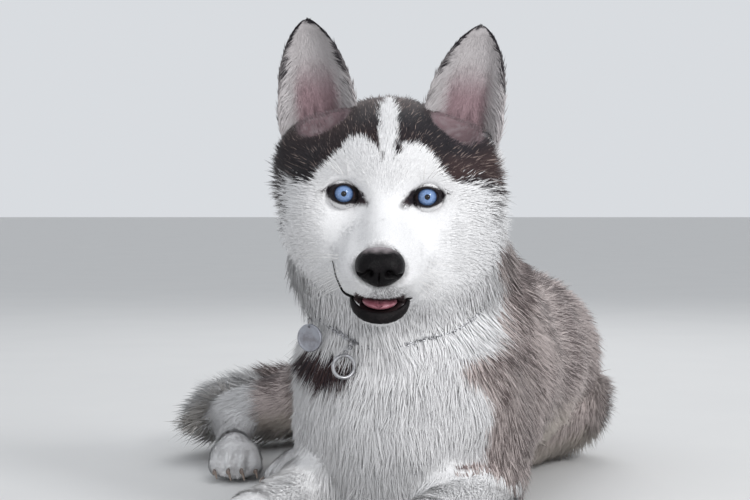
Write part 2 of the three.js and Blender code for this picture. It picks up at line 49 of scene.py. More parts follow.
SIDES = {"left": 1.0, "right": -1.0}
FLOOR_CLEARANCE = 0.0004


# Places

def unit(rows):
    rows = np.asarray(rows, float)
    return rows / np.maximum(np.linalg.norm(rows, axis=-1, keepdims=True), 1e-12)


def smooth(low, high, values):
    share = np.clip((np.asarray(values, float) - low) / (high - low), 0, 1)
    return share * share * (3 - 2 * share)


def full_turn(steps):
    return np.linspace(0, 2 * math.pi, steps, endpoint=False)


def middle_of(node):
    low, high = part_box(node)
    return np.array((low + high) / 2)


def turn(axis, angle):
    cos, sin = math.cos(angle), math.sin(angle)
    turns = {
        "x": [[1, 0, 0], [0, cos, -sin], [0, sin, cos]],
        "y": [[cos, 0, sin], [0, 1, 0], [-sin, 0, cos]],
        "z": [[cos, -sin, 0], [sin, cos, 0], [0, 0, 1]],
    }
    return np.array(turns[axis])


# Head space is in millimetres: x to the pup's left, y to the back, z to the brow.
HEAD_PITCH = math.radians(15)
HEAD_ROLL = math.radians(2.3)
HEAD_YAW = math.radians(2)
EYE_SET_BACK = 7
EYE_HALF_SPACE = 29.0
EYEBALL = 10.0
head_turn = turn("z", -HEAD_YAW) @ turn("y", HEAD_ROLL) @ turn("x", HEAD_PITCH)
eye_middle = (middle_of("eye_left") + middle_of("eye_right")) / 2
head_origin = eye_middle - head_turn @ np.array([0, EYE_SET_BACK, 0]) * MM


def from_head(points):
    return head_origin + np.asarray(points, float) * MM @ head_turn.T


def to_head(points):
    return (np.asarray(points) - head_origin) @ head_turn / MM


def eye_level(head):
    """Height of points above the eyes, seen by the viewer."""
    return head[:, 2] + 0.27 * (head[:, 1] - EYE_SET_BACK)


# Ground space is in millimetres from a point on the ground under the brow.
ground_origin = head_origin - np.array([7, 0, 235]) * MM


def from_ground(points):
    return ground_origin + np.asarray(points, float) * MM


def to_ground(points):
    return (np.asarray(points) - ground_origin) / MM


# The viewer stands in front of the pup, a little above its eyes.
VIEW_DISTANCE = 1200
VIEW_HEIGHT = 235
VIEW_PITCH = math.radians(1.71)
VIEW_LENS = 83.52
VIEW_SIZE = (750, 500)
SENSOR = 36
VIEW_RATIO = VIEW_LENS / SENSOR * VIEW_SIZE[0]


def front_view(points):
    """Where points lie on the front view of the pup, across and down."""
    spot = to_ground(points) - np.array([0, -VIEW_DISTANCE, VIEW_HEIGHT])
    cos, sin = math.cos(VIEW_PITCH), math.sin(VIEW_PITCH)
    depth = spot[:, 1] * cos - spot[:, 2] * sin
    rise = spot[:, 1] * sin + spot[:, 2] * cos
    across = VIEW_SIZE[0] / 2 + VIEW_RATIO * spot[:, 0] / depth
    down = VIEW_SIZE[1] / 2 - VIEW_RATIO * rise / depth
    return across, down


# Meshes

def new_piece(name, points, faces, material):
    """A mesh object from arrays. Faces all have the same number of corners."""
    points = np.asarray(points, np.float32)
    faces = np.asarray(faces, np.int32)
    corners = faces.shape[1]
    mesh = bpy.data.meshes.new(name)
    mesh.vertices.add(len(points))
    mesh.vertices.foreach_set("co", points.ravel())
    mesh.loops.add(faces.size)
    mesh.loops.foreach_set("vertex_index", faces.ravel())
    mesh.polygons.add(len(faces))
    mesh.polygons.foreach_set("loop_start", np.arange(0, faces.size, corners, dtype=np.int32))
    mesh.polygons.foreach_set("loop_total", np.full(len(faces), corners, np.int32))
    mesh.polygons.foreach_set("use_smooth", np.ones(len(faces), bool))
    mesh.update(calc_edges=True)
    mesh.materials.append(material)
    piece = bpy.data.objects.new(name, mesh)
    bpy.context.scene.collection.objects.link(piece)
    return piece


def paint(piece, name, colours):
    """Stores one colour for each point of a piece."""
    layer = piece.data.color_attributes.new(name, "FLOAT_COLOR", "POINT")
    rows = np.ones((len(colours), 4), np.float32)
    rows[:, :3] = colours
    layer.data.foreach_set("color", rows.ravel())


def quads_to_triangles(quads):
    return np.concatenate([quads[:, [0, 1, 2]], quads[:, [0, 2, 3]]])


def dots(first, second):
    return np.einsum("ij,ij->i", first, second)


def along_surface(ways, normals):
    return ways - normals * dots(ways, normals)[:, None]


def point_normals(points, triangles):
    a, b, c = points[triangles.T]
    face = np.cross(b - a, c - a)
    total = np.zeros_like(points)
    for corner in range(3):
        for axis in range(3):
            total[:, axis] += np.bincount(triangles[:, corner], face[:, axis], len(points))
    return unit(total)


def edge_pairs(faces):
    rolled = np.roll(faces, -1, axis=1)
    pairs = np.stack([faces.ravel(), rolled.ravel()], 1)
    return np.unique(np.sort(pairs, axis=1), axis=0)


def relax(values, pairs, rounds, strength=0.5, where=None):
    """Draws each point's value towards the mean of its neighbours."""
    values = np.array(values, float)
    flat = values.reshape(len(values), -1)
    first, second = pairs[:, 0], pairs[:, 1]
    count = len(values)
    degree = np.bincount(first, minlength=count) + np.bincount(second, minlength=count)
    degree = np.maximum(degree, 1)[:, None]
    for _ in range(rounds):
        total = np.empty_like(flat)
        for column in range(flat.shape[1]):
            total[:, column] = (
                np.bincount(first, flat[second, column], count)
                + np.bincount(second, flat[first, column], count)
            )
        change = strength * (total / degree - flat)
        if where is not None:
            change *= where[:, None]
        flat = flat + change
    return flat.reshape(values.shape)


def lattice_noise(points, size, seed):
    """Smooth random values from -1 to 1 that vary over about the given size in millimetres."""
    table = np.random.default_rng(seed).uniform(-1, 1, (32, 32, 32))
    spot = np.asarray(points) / MM / size + 500
    cell = np.floor(spot).astype(int)
    share = spot - cell
    share = share * share * (3 - 2 * share)
    total = np.zeros(len(spot))
    for dx in (0, 1):
        for dy in (0, 1):
            for dz in (0, 1):
                weight = (
                    (share[:, 0] if dx else 1 - share[:, 0])
                    * (share[:, 1] if dy else 1 - share[:, 1])
                    * (share[:, 2] if dz else 1 - share[:, 2])
                )
                x, y, z = ((cell + [dx, dy, dz]) % 32).T
                total += weight * table[x, y, z]
    return total


def ring_faces(rings, around, closed_hoop=False):
    """Quads between rings of points, wound the same way all along."""
    steps = rings if closed_hoop else rings - 1
    faces = []
    for ring in range(steps):
        start, after = ring * around, ((ring + 1) % rings) * around
        for index in range(around):
            beside = (index + 1) % around
            faces.append((start + index, start + beside, after + beside, after + index))
    return np.array(faces)


def capped(rings):
    """Points and faces of a closed shell: rings of points, with a pole at each end."""
    rings = np.asarray(rings, float)
    count, around = rings.shape[:2]
    points = np.vstack([rings.reshape(-1, 3), rings[0].mean(0), rings[-1].mean(0)])
    start, end, base = len(points) - 2, len(points) - 1, (count - 1) * around
    caps = []
    for index in range(around):
        beside = (index + 1) % around
        caps.append((start, beside, index))
        caps.append((end, base + index, base + beside))
    triangles = np.vstack([quads_to_triangles(ring_faces(count, around)), caps])
    return points, outward(points, triangles)


def lofted(name, rings, material):
    """A closed piece from rings of points."""
    return new_piece(name, *capped(rings), material)


def hoop_piece(name, rings, material):
    """A closed piece from rings of points that go round in a loop."""
    count, around = np.shape(rings)[:2]
    points = np.reshape(rings, (-1, 3))
    triangles = quads_to_triangles(ring_faces(count, around, closed_hoop=True))
    return new_piece(name, points, outward(points, triangles), material)


def outward(points, triangles):
    """Turns the faces of a closed shell so that they point out."""
    a, b, c = points[triangles.T]
    volume = dots(a, np.cross(b, c)).sum()
    return triangles if volume > 0 else triangles[:, ::-1]


def sweep(path, radii, around, up=(0, 0, 1)):
    """Rings of points round a path, one radius or (wide, high) pair for each point."""
    path = np.asarray(path, float)
    ahead = unit(np.gradient(path, axis=0))
    side = unit(np.cross(ahead, np.asarray(up, float)))
    above = np.cross(side, ahead)
    angles = full_turn(around)
    radii = np.asarray(radii, float)
    if radii.ndim == 1:
        radii = np.stack([radii, radii], 1)
    return (
        path[:, None]
        + side[:, None] * (radii[:, None, :1] * np.cos(angles)[None, :, None])
        + above[:, None] * (radii[:, None, 1:] * np.sin(angles)[None, :, None])
    )


# Finishes

class Wire:
    """A shader socket whose arithmetic adds Math nodes."""

    def __init__(self, finish, socket):
        self.finish = finish
        self.socket = socket

    def math(self, operation, *values):
        return self.finish.node("ShaderNodeMath", {"operation": operation}, *values)

    def __add__(self, other):
        return self.math("ADD", self, other)

    def __sub__(self, other):
        return self.math("SUBTRACT", self, other)

    def __mul__(self, other):
        return self.math("MULTIPLY", self, other)

    def __rsub__(self, other):
        return self.math("SUBTRACT", other, self)

    __radd__ = __add__
    __rmul__ = __mul__

    def step(self, low, high):
        settings = {"interpolation_type": "SMOOTHSTEP"}
        return self.finish.node("ShaderNodeMapRange", settings, self, low, high, 0.0, 1.0)


class Finish:
    """A node material under construction."""

    def __init__(self, name):
        self.material = bpy.data.materials.new(name)
        self.material.use_nodes = True
        self.tree = self.material.node_tree
        self.tree.nodes.clear()

    def node(self, kind, settings=None, *values, output=0, **named):
        made = self.tree.nodes.new(kind)
        for key, value in (settings or {}).items():
            setattr(made, key, value)
        for index, value in enumerate(values):
            self.join(made.inputs[index], value)
        for key, value in named.items():
            self.join(made.inputs[key.replace("_", " ")], value)
        return Wire(self, made.outputs[output])

    def join(self, socket, value):
        if isinstance(value, Wire):
            self.tree.links.new(value.socket, socket)
        elif value is not None:
            if socket.type == "RGBA" and len(value) == 3:
                value = (*value, 1)
            socket.default_value = value

    def mix(self, factor, first, second, blend="MIX"):
        made = self.tree.nodes.new("ShaderNodeMix")
        made.data_type = "RGBA"
        made.blend_type = blend
        self.join(made.inputs[0], factor)
        self.join(made.inputs[6], first)
        self.join(made.inputs[7], second)
        return Wire(self, made.outputs[2])

    def place(self):
        return self.node("ShaderNodeTexCoord", None, output="Object")

    def noise(self, scale, detail=3.0, roughness=0.55, vector=None):
        vector = vector or self.place()
        return self.node(
            "ShaderNodeTexNoise", None, Vector=vector, Scale=scale, Detail=detail, Roughness=roughness)

    def bump(self, height, strength, distance):
        return self.node("ShaderNodeBump", None, Height=height, Strength=strength, Distance=distance)

    def done(self, **sockets):
        shader = self.node("ShaderNodeBsdfPrincipled", None, **sockets)
        result = self.tree.nodes.new("ShaderNodeOutputMaterial")
        self.tree.links.new(shader.socket, result.inputs[0])
        return self.material


# Markings

# Outlines of dark patches on the front view, across and down
CAP_RIGHT = [
    (345, 92), (377, 92), (379, 120), (378, 136), (382, 162), (374, 150), (366, 143), (353, 141),
    (343, 154), (332, 165), (322, 173), (314, 185), (306, 185), (299, 177), (295, 182), (294, 200),
    (293, 216), (290, 233), (286, 225), (282, 205), (279, 185), (278, 160), (283, 145), (298, 128),
    (315, 112), (330, 100),
]
CAP_LEFT = [
    (430, 92), (445, 108), (458, 118), (472, 128), (486, 142), (492, 160), (492, 180), (491, 200),
    (488, 223), (483, 215), (480, 200), (476, 191), (468, 188), (457, 186), (447, 180), (438, 171),
    (431, 162), (424, 153), (414, 148), (405, 147), (401, 150), (394, 163), (394, 148), (397, 135),
    (396, 122), (393, 108), (393, 92),
]
SHOULDER_LEFT = [
    (489, 222), (489, 250), (496, 266), (489, 288), (487, 318), (483, 338), (472, 348), (458, 356),
    (460, 362), (470, 370), (479, 380), (486, 392), (492, 408), (489, 426), (482, 441), (470, 455),
    (452, 468), (438, 482), (424, 505), (900, 505), (900, 222),
]
COLLAR_PATCH = [
    (300, 338), (330, 337), (346, 342), (358, 346), (361, 352), (352, 359), (341, 367), (326, 368),
    (312, 361), (300, 352),
]
WHITE = np.array([0.78, 0.775, 0.78])
WARM_WHITE = np.array([0.70, 0.665, 0.63])
CREAM = np.array([0.60, 0.53, 0.47])
BLACK = np.array([0.016, 0.013, 0.017])
BROWN = np.array([0.060, 0.034, 0.033])
TAN = np.array([0.26, 0.20, 0.18])
PALE_GREY = np.array([0.57, 0.49, 0.47])
DARK_GREY = np.array([0.115, 0.082, 0.080])
PINK = np.array([0.33, 0.225, 0.245])
RIM_BLACK = 0.6 * BLACK + 0.4 * BROWN
LIP_GREY = np.array([0.13, 0.125, 0.13])
# Grey hair in the bowls of the ears, darkened with painted shade
SHADED_BOWL_GREY = np.array([0.24, 0.20, 0.21])
EAR_WHITE = np.array([0.52, 0.49, 0.495])
EAR_EDGE_GREY = np.array([0.50, 0.46, 0.46])


def patch_depth(outline, across, down):
    """How far points lie inside an outline; negative outside."""
    best = np.full(len(across), 1e9)
    inside = np.zeros(len(across), bool)
    for (x1, y1), (x2, y2) in zip(outline, outline[1:] + outline[:1]):
        dx, dy = x2 - x1, y2 - y1
        share = np.clip(((across - x1) * dx + (down - y1) * dy) / (dx * dx + dy * dy), 0, 1)
        best = np.minimum(best, np.hypot(across - x1 - share * dx, down - y1 - share * dy))
        if y1 != y2:
            crosses = ((y1 > down) != (y2 > down)) & (across < dx * (down - y1) / (y2 - y1) + x1)
            inside ^= crosses
    return np.where(inside, best, -best)


def blend_rows(first, second, share):
    share = np.clip(np.asarray(share, float), 0, 1)[:, None]
    return first * (1 - share) + second * share


def eye_reach(head):
    """How far points lie from the nearer eye; 1 is the edge of its lids."""
    best = np.full(len(head), 1e9)
    for side in SIDES.values():
        inward = side * (side * EYE_HALF_SPACE - head[:, 0])
        across = inward / np.where(inward > 0, 13.4, 11.4)
        up = (eye_level(head) + 1.4 * across * np.abs(across)) / 6.7
        best = np.minimum(best, (np.abs(across) ** 1.7 + np.abs(up) ** 1.7) ** (1 / 1.7))
    return np.where(head[:, 1] < 22, best, 1e9)


BOWL_MIDDLE = np.array([51.0, 42, 57])
BOWL_SIZE = np.array([22.0, 22, 27])


def bowl_reach(head):
    """How far points are from the middle of the nearer ear's bowl; 1 is its wall."""
    middles = [BOWL_MIDDLE * [side, 1, 1] for side in SIDES.values()]
    return np.min([np.linalg.norm((head - middle) / BOWL_SIZE, axis=1) for middle in middles], axis=0)


def markings(points, normals, region, grain):
    """Coat colour at points of the skin: the colour low in the coat, and how dark its tips are.

    grain is a random value from 0 to 1 for each point, which picks pale or dark hair.
    """
    count = len(points)
    head = to_head(points)
    ground = to_ground(points)
    across, down = front_view(points)
    head_x, head_y, head_z = head.T
    ground_x, ground_y, ground_z = ground.T
    ragged = 2.2 * lattice_noise(points, 4.0, 11)
    patchy = lattice_noise(points, 26.0, 12)
    facing = -normals[:, 1]
    on_head = np.isin(region, HEAD_REGIONS)
    on_ear = np.isin(region, EAR_REGIONS)
    on_torso = np.isin(region, TORSO_REGIONS)

    colour = np.tile(WHITE, (count, 1))
    dark = np.zeros(count)

    # Saddle: grey brown over the back, the flanks and the sides of the neck
    left_depth = patch_depth(SHOULDER_LEFT, across, down) + ragged
    left_share = smooth(-2, 3, left_depth) * (ground_x > 20)
    side_reach = 80 + 0.55 * np.clip(150 - ground_z, 0, 150) + 3 * ragged
    behind = smooth(-6, 6, ground_y - side_reach - 12 * (ground_x > 20))
    right_share = behind * (ground_x <= 40)
    left_share = np.maximum(left_share, smooth(0, 30, ground_y - 120) * (ground_x > 20))
    nape = smooth(88, 100, head_y + 0.35 * head_z + ragged)
    saddle = np.where(on_torso, np.maximum(left_share, right_share), 0)
    saddle = np.where(on_head, nape * smooth(-70, -50, head_z), saddle)
    limb_saddle = np.isin(region, GREY_LIMB_REGIONS) * smooth(-104, -92, ground_x + ragged)
    saddle = np.maximum(saddle, limb_saddle)
    underside = smooth(0.15, 0.6, -normals[:, 2]) * (ground_y > 60)
    spine = smooth(0.45, 0.95, normals[:, 2])
    darkness = 0.18 + 0.46 * spine + 0.5 * patchy
    darkness += 0.45 * smooth(0, 14, left_depth) * smooth(40, 12, left_depth) * (ground_y < 200)
    picks_dark = smooth(-0.16, 0.16, darkness - grain)
    grey = blend_rows(PALE_GREY, DARK_GREY, picks_dark)
    grey = blend_rows(grey, CREAM, underside)
    colour = blend_rows(colour, grey, saddle)
    dark = np.maximum(dark, saddle * picks_dark * (1 - underside))

    # Cap over the skull, with a stripe down each cheek
    cap = np.maximum(
        patch_depth(CAP_RIGHT, across, down),
        patch_depth(CAP_LEFT, across, down),
    )
    cap = smooth(-1.5, 1.5, cap + 0.8 * ragged) * (head_y < 66) * (facing > -0.25)
    crown = smooth(44, 52, head_y + 0.2 * ragged) * smooth(20, 30, head_z)
    blaze_half = 5.5 - 0.04 * np.clip(head_y - 20, 0, 60)
    crown *= 1 - smooth(1.5, -1.5, np.abs(head_x) - blaze_half) * smooth(72, 62, head_y)
    cap = np.maximum(cap, crown * on_head)
    cap = np.where(on_head, cap, 0) * (grain > 0.7 * smooth(174, 198, down) * (head_y < 66))
    brownness = 0.25 + 0.5 * patchy + 0.65 * smooth(126, 104, down) - 0.15 * (head_x > 0)
    brownness += 0.7 * smooth(436, 452, across) * smooth(150, 166, down) * smooth(186, 178, down)
    brownness = np.clip(brownness, 0, 1)
    hair = blend_rows(BLACK, BROWN, brownness)
    pale_hair = 0.04 + 0.09 * brownness
    hair = blend_rows(hair, TAN, smooth(-0.02, 0.02, pale_hair - grain))
    colour = blend_rows(colour, hair, cap)
    dark = np.maximum(dark, cap)

    # Rims and inner corners of the eyes, and grey hair on the upper lip
    for side in SIDES.values():
        rim = smooth(1.22, 1.06, eye_reach(head))
        inward = side * (side * EYE_HALF_SPACE - head_x)
        slant = np.abs(eye_level(head) + 0.40 * inward - 0.6)
        corner = smooth(1.2, -0.6, slant + 0.26 * (inward - 8) - 4.2) * (inward > 5)
        corner *= smooth(20, 16, inward) * (head_y < 20)
        colour = blend_rows(colour, RIM_BLACK, np.maximum(rim, corner) * on_head)
    lip_reach = np.hypot((head_x - 5) / 1.6, head_z + 50)
    lip = smooth(12, 4, lip_reach) * (head_y < -40) * on_head
    colour = blend_rows(colour, LIP_GREY, 0.8 * lip * smooth(0.25, 0.6, grain))

    # Pink skin and grey hair in the bowls of the ears, darkened with painted shade, most deeply low in the
    # bowl
    bowl = smooth(1.16, 1.04, bowl_reach(head)) * (head_z < 62) * on_head
    shaded_bowl_skin = blend_rows(PINK * 0.4, PINK * 0.68, smooth(30, 54, head_z))
    shaded_bowl_skin = blend_rows(shaded_bowl_skin, SHADED_BOWL_GREY, 0.6 * smooth(0.5, 0.9, grain))
    colour = blend_rows(colour, shaded_bowl_skin, bowl)

    # Dark patch below the collar on the right
    patch = smooth(-1.5, 1.5, patch_depth(COLLAR_PATCH, across, down) + ragged) * (ground_y < 55)
    patch = np.where(on_torso, patch, 0)
    patch_hair = blend_rows(BLACK * 1.5, BROWN, smooth(0.3, 0.7, grain))
    colour = blend_rows(colour, patch_hair, patch)

    # Tail: grey above, pale below, with a pale tip
    on_tail = np.isin(region, TAIL_REGIONS)
    tip = np.isin(region, [REGION["tail_tip"]]) * smooth(400, 372, ground_y)
    colour = blend_rows(colour, WARM_WHITE, on_tail * np.maximum(tip, 0.8 * underside))

    # Backs of the ears
    ear_hair = blend_rows(BLACK, BROWN, 0.35 * smooth(0.4, 0.8, grain))
    colour = blend_rows(colour, ear_hair, on_ear)
    return colour, dark


# Skin

LIMBS = {
    "upper_arm_right": ((-20, 60, 108), (-30, 112, 32)),
    "upper_arm_left": ((60, 42, 108), (86, 88, 32)),
    "forearm_right": ((-30, 112, 28), (-80, -18, 21)),
    "forearm_left": ((86, 88, 28), (36, -46, 21)),
    "forepaw_right": ((-80, -18, 24), (-106, -92, 10)),
    "forepaw_left": ((36, -46, 24), (12, -120, 10)),
    "thigh_left": ((158, 374, 54), (96, 262, 40)),
    "shin_left": ((96, 262, 40), (-22, 296, 24)),
    "hind_foot_left": ((-22, 296, 24), (-43, 255, 20)),
    "hindpaw_left": ((-43, 255, 22), (-73, 195, 10)),
    "thigh_right": ((78, 366, 104), (-30, 286, 70)),
    "shin_right": ((-30, 286, 70), (-128, 360, 44)),
    "hind_foot_right": ((-128, 360, 44), (-123, 308, 20)),
    "hindpaw_right": ((-123, 308, 22), (-116, 240, 10)),
    "tail_root": ((132, 430, 86), (30, 492, 40)),
    "tail_middle": ((30, 492, 40), (-110, 440, 40)),
    "tail_tip": ((-110, 440, 40), (-158, 360, 34)),
}
TORSO = ["neck", "chest", "upper_arm_right", "upper_arm_left", "barrel", "hips"]
FLESH = ["head", "lower_jaw", *TORSO, *[name for name in LIMBS if name not in TORSO]]
EARS = ["ear_left", "ear_right"]
REGION = {name: index for index, name in enumerate([*FLESH, *EARS])}
HEAD_REGIONS = [REGION["head"], REGION["lower_jaw"]]
EAR_REGIONS = [REGION[name] for name in EARS]
TORSO_REGIONS = [REGION[name] for name in TORSO]
GREY_LIMB_REGIONS = [REGION[name] for name in REGION if name.startswith(("thigh", "shin", "tail"))]
GREY_REGIONS = [*GREY_LIMB_REGIONS, REGION["barrel"], REGION["hips"]]
TAIL_REGIONS = [REGION[name] for name in REGION if name.startswith("tail")]

SKIN_GRID = 3.2 * MM

# Hair length and how far it stands off the skin, in millimetres and degrees
HAIR = {
    "neck": (27, 16), "chest": (27, 13), "upper_arm_right": (20, 15), "upper_arm_left": (20, 15),
    "barrel": (27, 16), "hips": (28, 18), "forearm_right": (12, 14), "forearm_left": (12, 14),
    "forepaw_right": (5, 13), "forepaw_left": (5, 13), "thigh_left": (27, 19), "thigh_right": (28, 20),
    "shin_left": (18, 18), "shin_right": (19, 19), "hind_foot_left": (11, 18), "hind_foot_right": (12, 19),
    "hindpaw_left": (5, 13), "hindpaw_right": (5, 13),
    "tail_root": (33, 28), "tail_middle": (36, 27), "tail_tip": (34, 26),
}
EYE_HAIR = (2.6, 13)


def merged(node):
    """A CAD node's points and triangles, with shared corners joined."""
    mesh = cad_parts[node].data
    points = np.empty(len(mesh.vertices) * 3)
    mesh.vertices.foreach_get("co", points)
    points = points.reshape(-1, 3)
    corners = np.empty(len(mesh.loops), np.int32)
    mesh.loops.foreach_get("vertex_index", corners)
    keys, where = np.unique(np.round(points / (0.01 * MM)).astype(int), axis=0, return_inverse=True)
    faces = where.ravel()[corners].reshape(-1, 3)
    keep = (faces[:, 0] != faces[:, 1]) & (faces[:, 1] != faces[:, 2]) & (faces[:, 0] != faces[:, 2])
    return keys * 0.01 * MM, faces[keep]


def remeshed(points, triangles, grid):
    """One closed shell of even quads round all the given shells."""
    mesh = bpy.data.meshes.new("flesh")
    mesh.from_pydata(points.tolist(), [], triangles.tolist())
    shell = bpy.data.objects.new("flesh", mesh)
    bpy.context.scene.collection.objects.link(shell)
    modifier = shell.modifiers.new("grid", "REMESH")
    modifier.mode = "VOXEL"
    modifier.voxel_size = grid
    graph = bpy.context.evaluated_depsgraph_get()
    result = shell.evaluated_get(graph).to_mesh()
    even = np.empty(len(result.vertices) * 3)
    result.vertices.foreach_get("co", even)
    quads = np.empty(len(result.loops), np.int32)
    result.loops.foreach_get("vertex_index", quads)
    quads = quads.reshape(-1, 4)
    bpy.data.objects.remove(shell)
    return even.reshape(-1, 3), quads


def flow_at(points, normals, region):
    """The way the hair lies, before it is laid flat on the skin."""
    head, ground = to_head(points), to_ground(points)
    count = len(points)
    flow = np.tile(np.array([0.2, 0.6, -0.6]), (count, 1))

    # On the head it fans out from the nose, and falls on the cheeks and throat.
    away = head - np.array([0, -64, -30])
    away[:, 0] *= 1.5
    cheek = smooth(26, 52, np.abs(head[:, 0])) * smooth(25, 0, head[:, 2])
    throat = smooth(-40, -66, head[:, 2])
    away = unit(away) @ head_turn.T
    away[:, 2] -= 0.25 * cheek + 0.5 * throat
    on_head = np.isin(region, HEAD_REGIONS)
    flow[on_head] = unit(away)[on_head]
    on_jaw = region == REGION["lower_jaw"]
    chin = np.stack([0.02 * head[:, 0], np.full(count, 0.55), np.full(count, -0.8)], 1)
    flow[on_jaw] = unit(chin)[on_jaw]

    # On the neck it runs from the head to the shoulders.
    on_neck = region == REGION["neck"]
    spread = unit(ground - np.array([7, 60, 225]))
    neck_way = unit(0.55 * spread + np.array([0.10, 0.35, -0.75]))
    flow[on_neck] = neck_way[on_neck]

    # On the trunk it falls at the front and lies back along the sides.
    on_trunk = np.isin(region, [REGION["chest"], REGION["upper_arm_left"], REGION["upper_arm_right"]])
    back_share = smooth(0, 120, ground[:, 1])[:, None]
    falling, lying = np.array([0.0, 0.05, -1]), np.array([0.28, 0.85, -0.55])
    trunk_way = unit((1 - back_share) * falling + back_share * lying)
    flow[on_trunk] = trunk_way[on_trunk]
    on_rear = np.isin(region, [REGION["barrel"], REGION["hips"]])
    flow[on_rear] = unit(np.array([0.31, 0.95, -0.35]))

    # On a limb it runs down the limb.
    for name, (start, end) in LIMBS.items():
        if name.startswith("upper_arm"):
            continue
        flow[region == REGION[name]] = unit(np.array(end, float) - np.array(start, float))
    flow[:, 2] -= 0.12
    return flow


def hair_at(points, region):
    """Hair length and stand for points of the skin."""
    head = to_head(points)
    head_x, head_y, head_z = head.T
    length = np.zeros(len(points))
    stand = np.zeros(len(points))
    for name, (long, lift) in HAIR.items():
        length[region == REGION[name]] = long
        stand[region == REGION[name]] = lift
    back = smooth(-15, 45, head_y)
    cheek = smooth(28, 54, np.abs(head_x)) * smooth(24, 4, head_z)
    cheek = np.maximum(cheek, smooth(-38, -62, head_z))
    cheek = np.maximum(cheek, smooth(62, 90, head_y))
    face = 3.6 + 2.6 * smooth(-35, 5, head_y) + (15.5 * cheek + 4.5 * (1 - cheek)) * back
    eyes = np.hypot(np.abs(head_x) - EYE_HALF_SPACE, head_z)
    near_eye = smooth(8, 24, eyes + 40 * (head_y > 24))
    face *= 0.38 + 0.62 * near_eye
    face = np.where(bowl_reach(head) < 1.14, 5.0, face)
    ruff = smooth(17, 6, np.hypot(np.abs(head_x) - 43, 0.8 * (head_z + 36))) * back
    face += 7 * ruff
    lift = 13 + 16 * cheek * back + 12 * ruff
    on_head = region == REGION["head"]
    length[on_head], stand[on_head] = face[on_head], lift[on_head]
    on_jaw = region == REGION["lower_jaw"]
    length[on_jaw], stand[on_jaw] = 5.0, 16
    return length, np.radians(stand)


def build_skin():
    """The one skin under the coat, with its hair flow, length and stand at each point."""
    points, triangles, owner = [], [], []
    start = 0
    for name in FLESH:
        node_points, node_triangles = merged(name)
        points.append(node_points)
        triangles.append(node_triangles + start)
        owner.append(np.full(len(node_triangles), REGION[name]))
        start += len(node_points)
    points, triangles, owner = np.vstack(points), np.vstack(triangles), np.concatenate(owner)
    tree = BVHTree.FromPolygons(points.tolist(), triangles.tolist())
    skin, quads = remeshed(points, triangles, SKIN_GRID)
    region = np.array([owner[tree.find_nearest(Vector(point))[2]] for point in skin])
    pairs = edge_pairs(quads)
    faces = quads_to_triangles(quads)

    # The coat closes over the collar, so the skin has no groove.
    distance = collar_distance(skin)
    groove = smooth(17 * MM, 12 * MM, distance)
    skin = relax(skin, pairs, 160, 0.6, groove)

    head = to_head(skin)
    fine = np.isin(region, HEAD_REGIONS) & (head[:, 1] < 12)
    paws = np.isin(region, [REGION[name] for name in REGION if "paw" in name])
    firm = np.where(fine, 0.35, np.where(paws, 0.5, 1.0))
    skin = relax(skin, pairs, 14, 0.5, relax(firm, pairs, 6))

    length, stand = hair_at(skin, region)
    over_collar = smooth(26 * MM, 12 * MM, distance) * (skin[:, 2] > collar_height(skin) + 2 * MM)
    length, stand = length + 3 * over_collar, stand + math.radians(9) * over_collar
    length, stand = relax(length, pairs, 16), relax(stand, pairs, 16)
    normals = relax(point_normals(skin, faces), pairs, 10)
    coat_depth = (0.5 + 0.33 * length) * MM
    skin = skin - unit(normals) * coat_depth[:, None]
    skin = relax(skin, pairs, 5, 0.5, relax(firm, pairs, 6))
    skin = shape_face(skin, region)
    skin = shape_paws(skin, point_normals(skin, faces), region)
    skin[:, 2] = np.maximum(skin[:, 2], 1.2 * MM)

    # Skin between the rims of the eyes and the face joins the rest
    tree = BVHTree.FromPolygons(skin.tolist(), faces.tolist())
    head = to_head(skin)
    bare = np.zeros(len(skin))
    for side in SIDES.values():
        across = (head[:, 0] - side * EYE_HALF_SPACE) / 1.1
        bare[(np.hypot(across, eye_level(head)) < 11.6) & (head[:, 1] < 24)] = 1
    for side in SIDES.values():
        around, hoop_faces, under = eye_surround(side, tree)
        faces = np.vstack([faces, hoop_faces + len(skin)])
        skin = np.vstack([skin, around])
        region = np.append(region, np.full(len(around), REGION["head"]))
        length = np.append(length, np.full(len(around), EYE_HAIR[0]))
        stand = np.append(stand, np.full(len(around), math.radians(EYE_HAIR[1])))
        bare = np.append(bare, under)
    pairs = edge_pairs(faces)

    normals = point_normals(skin, faces)
    flow = flow_at(skin, normals, region)
    for _ in range(4):
        flow = unit(along_surface(relax(flow, pairs, 5), normals))
    return {
        "points": skin, "triangles": faces, "normals": normals, "region": region, "flow": flow,
        "length": length, "stand": stand, "bare": bare,
    }


def eye_frame(side):
    """The middle of an eyeball, and the way it looks with its own right and up."""
    centre = middle_of("eye_left" if side > 0 else "eye_right")
    viewer = from_ground([[0, -VIEW_DISTANCE, VIEW_HEIGHT]])[0]
    look = unit(viewer - centre)
    level = unit(np.cross([0, 0, 1.0], look))
    above = np.cross(look, level)
    tilt = -side * math.radians(5)
    right = level * math.cos(tilt) + above * math.sin(tilt)
    raised = above * math.cos(tilt) - level * math.sin(tilt)
    return centre, look, right, raised


def lid_edge(angle, wide, high, reach, point, side):
    """The almond outline of an eye. Its inner corner is drawn out and lower."""
    x, y = math.cos(angle), math.sin(angle)
    toward_nose = -side * x
    width = wide + (reach if toward_nose > 0 else 0) * abs(x) ** 6
    pinch = abs(y) ** point
    slant = -0.20 * high * toward_nose * abs(x)
    return width * x, high * y * pinch + slant


# Places across the skin round an eye: over its top, then back under it
SURROUND_SHARES = (0.0, 0.14, 0.28, 0.42, 0.56, 0.7, 0.85, 1.0, 1.0, 0.5, 0.0)
SURROUND_TOP = 8
SURROUND_SIDES = 72


